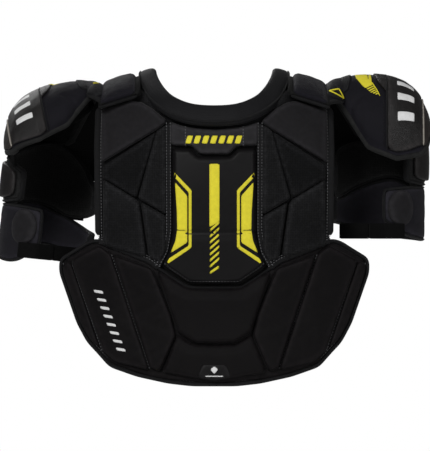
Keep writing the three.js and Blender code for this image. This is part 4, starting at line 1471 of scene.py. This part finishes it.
def arm(side):
    name, left = side["name"], side["sign"] < 0
    bicep, lower_bicep = f"{name}_bicep", f"{name}_lower_bicep"
    upper, lower = on_arm(side, UPPER_GUARD_TOP), on_arm(side, LOWER_GUARD_TOP)
    outline = guard(f"bicep_guard_{name}", LEFT_GUARD_ROWS if left else GUARD_ROWS, upper,
                    puffed(6, 4, 0.8, lumps=0.4), 10, "guard", bicep, f"bicep_pad_{name}")
    bound(f"bicep_guard_binding_{name}", outline, upper, 5, 2.4, 5.2, bicep, corner=10, closed=True)
    made = laid(f"bicep_plate_cover_{name}", around(GUARD_PLATE_ROWS, (ARM_ARC, 1)), upper, 10.6,
                puffed(3.2, 2.5, 1), 4, 8, 1.2)
    dressed(made, "cap_leather", bicep, replaces=f"bicep_plate_{name}")
    outline = guard(f"lower_guard_{name}", LEFT_LOWER_GUARD_ROWS if left else LOWER_GUARD_ROWS, lower,
                    puffed(5.2, 4, 0.8, lumps=0.4), 12, "guard_fabric", lower_bicep,
                    f"lower_bicep_pad_{name}")
    bound(f"lower_guard_binding_{name}", outline, lower, 4.5, 2.2, 4.6, lower_bicep, corner=12, closed=True)
    turn = np.linspace(0, 2 * np.pi, 28, endpoint=False)
    oval = np.stack([-60 * ARM_ARC + PATCH_RADII[0] * np.cos(turn), 28 + PATCH_RADII[1] * np.sin(turn)], 1)
    made = laid(f"elbow_patch_{name}", oval, lower, 8.6, puffed(3.6, 5, 1.4), 3.4, 2, 0.8)
    dressed(made, "quilt_pale", lower_bicep)
    arm_cloth(side, upper, lower)
    straps = (("bicep_strap_band", "bicep_strap", ARM_STRAP_PATH, f"{name}_bicep_strap"),
              ("strap_tab_band", "strap_tab", ARM_TAB_PATH, lower_bicep))
    for piece, node, path, body in straps:
        strap(f"{piece}_{name}", path, ARM_STRAP_LEVELS, lambda at: hung(side, at), body, f"{node}_{name}")


def arm_cloth(side, upper, lower):
    """The sleeve between the two guards of an arm, and the elastic that hangs them from the cap."""
    name, sign = side["name"], side["sign"]
    middle, above_bend, below_bend = (hung(side, np.array([[ARM_CENTRE[0], 0.0, z]]))[0]
                                      for z in (-80, -105, -124))
    over = np.linspace(-43, 140 if sign < 0 else 188, 64) * ARM_ARC
    made, grid = gusset(f"sleeve_gusset_{name}", edge_of(upper, over, 46, 3.4), edge_of(lower, over, 12, 3.4),
                        middle, 3, 1)
    dressed(made, "liner", blend=(f"{name}_bicep", f"{name}_lower_bicep", above_bend, below_bend))
    cloth_sheet(grid)
    over = np.linspace(-34, 34, 24)
    cap_edge = edge_of(on_cap(side), 146, over * CAP_ARC, -12)
    guard_edge = edge_of(upper, over * ARM_ARC, 20, 4)
    made, grid = gusset(f"arm_hanger_{name}", cap_edge, guard_edge, middle, 3, 1)
    hinge = (np.array(ARM_HINGE) + side["shift"]) * (sign, 1, 1)
    dressed(made, "elastic", blend=(f"{name}_cap", f"{name}_bicep", hinge + (0, 0, 6), hinge - (0, 0, 14)))
    cloth_sheet(grid)


def side_strap(side):
    name = side["name"]
    strap(f"side_strap_band_{name}", SIDE_STRAP_PATH, SIDE_STRAP_LEVELS, lambda at: at * (side["sign"], 1, 1),
          f"{name}_side_strap", f"side_strap_{name}")


# ------------------------------------------------------------------ studio


LIGHT_AIM = (0, 0, -0.15)
FLOOR_LEVEL = -0.62
FLOOR_RADIUS = 2.2
LIGHTS = [  # name, place, size, watts
    ("key", (-1.4, -3.0, 1.9), 1.2, 72),
    ("fill", (2.2, -2.8, 0.6), 1.6, 26),
    ("top", (0.1, -0.2, 2.6), 1.8, 8),
    ("front", (-1.0, 3.2, 1.6), 1.6, 20),
]
ROOM_LIGHT = 0.12
EYE_DISTANCE = 9.0
EYE_CENTRE = (0.001, -0.169)
BACK_PLANE = -0.1
FRAME_HEIGHT = 0.609
SENSOR = 36


def pale_floor():
    turn = np.linspace(0, 2 * np.pi, 96, endpoint=False)
    mesh = bpy.data.meshes.new("floor")
    ring = [(FLOOR_RADIUS * math.cos(a), FLOOR_RADIUS * math.sin(a), FLOOR_LEVEL) for a in turn]
    mesh.from_pydata(ring, [], [tuple(range(len(ring)))])
    floor = bpy.data.objects.new("floor", mesh)
    bpy.context.scene.collection.objects.link(floor)
    paint = bpy.data.materials.new("floor_paint")
    paint.use_nodes = True
    shader = paint.node_tree.nodes["Principled BSDF"]
    shader.inputs["Base Color"].default_value = (0.92, 0.92, 0.92, 1)
    shader.inputs["Roughness"].default_value = 0.9
    mesh.materials.append(paint)


def white_room():
    """White behind the object, and a soft even light from all round that is weaker than it looks."""
    world = bpy.data.worlds.new("studio")
    world.use_nodes = True
    tree = world.node_tree
    seen = wire(tree, "ShaderNodeLightPath").outputs["Is Camera Ray"]
    strength = math_node(tree, "ADD", math_node(tree, "MULTIPLY", seen, 1 - ROOM_LIGHT), ROOM_LIGHT)
    background = tree.nodes["Background"]
    background.inputs["Color"].default_value = (1, 1, 1, 1)
    tree.links.new(strength, background.inputs["Strength"])
    bpy.context.scene.world = world


def studio():
    """A pale floor, soft lights and a far camera square to the back."""
    bpy.context.scene.view_settings.view_transform = "Standard"
    pale_floor()
    white_room()
    for name, place, size, power in LIGHTS:
        light = bpy.data.lights.new(name, "AREA")
        light.size, light.energy = size, power
        lamp = bpy.data.objects.new(name, light)
        lamp.location = place
        lamp.rotation_euler = (Vector(LIGHT_AIM) - Vector(place)).to_track_quat("-Z", "Y").to_euler()
        bpy.context.scene.collection.objects.link(lamp)
    camera = bpy.data.cameras.new("camera")
    camera.sensor_width = SENSOR
    camera.lens = SENSOR * (EYE_DISTANCE + BACK_PLANE) / FRAME_HEIGHT
    eye = bpy.data.objects.new("camera", camera)
    eye.location = (EYE_CENTRE[0], -EYE_DISTANCE, EYE_CENTRE[1])
    eye.rotation_euler = (math.pi / 2, 0, 0)
    bpy.context.scene.collection.objects.link(eye)
    bpy.context.scene.camera = eye


def main():
    studio()
    liner("back_lining", around(both_ways(BACK_LINER)), on_back, "back", "back_liner")
    spine_top_panel()
    spine_print(spine_moulding())
    collar()
    lumbar()
    waist_gussets()
    facings()
    front()
    for side in SIDES:
        back_pads(side)
        back_trim(side)
        yoke(side)
        shoulder_gusset(side)
        wings = wing(side)
        if side["name"] == "left":
            wing_print(wings)
            webbing_loop("left_cap")
        cap(side)
        arm(side)
        side_strap(side)


main()
swell()
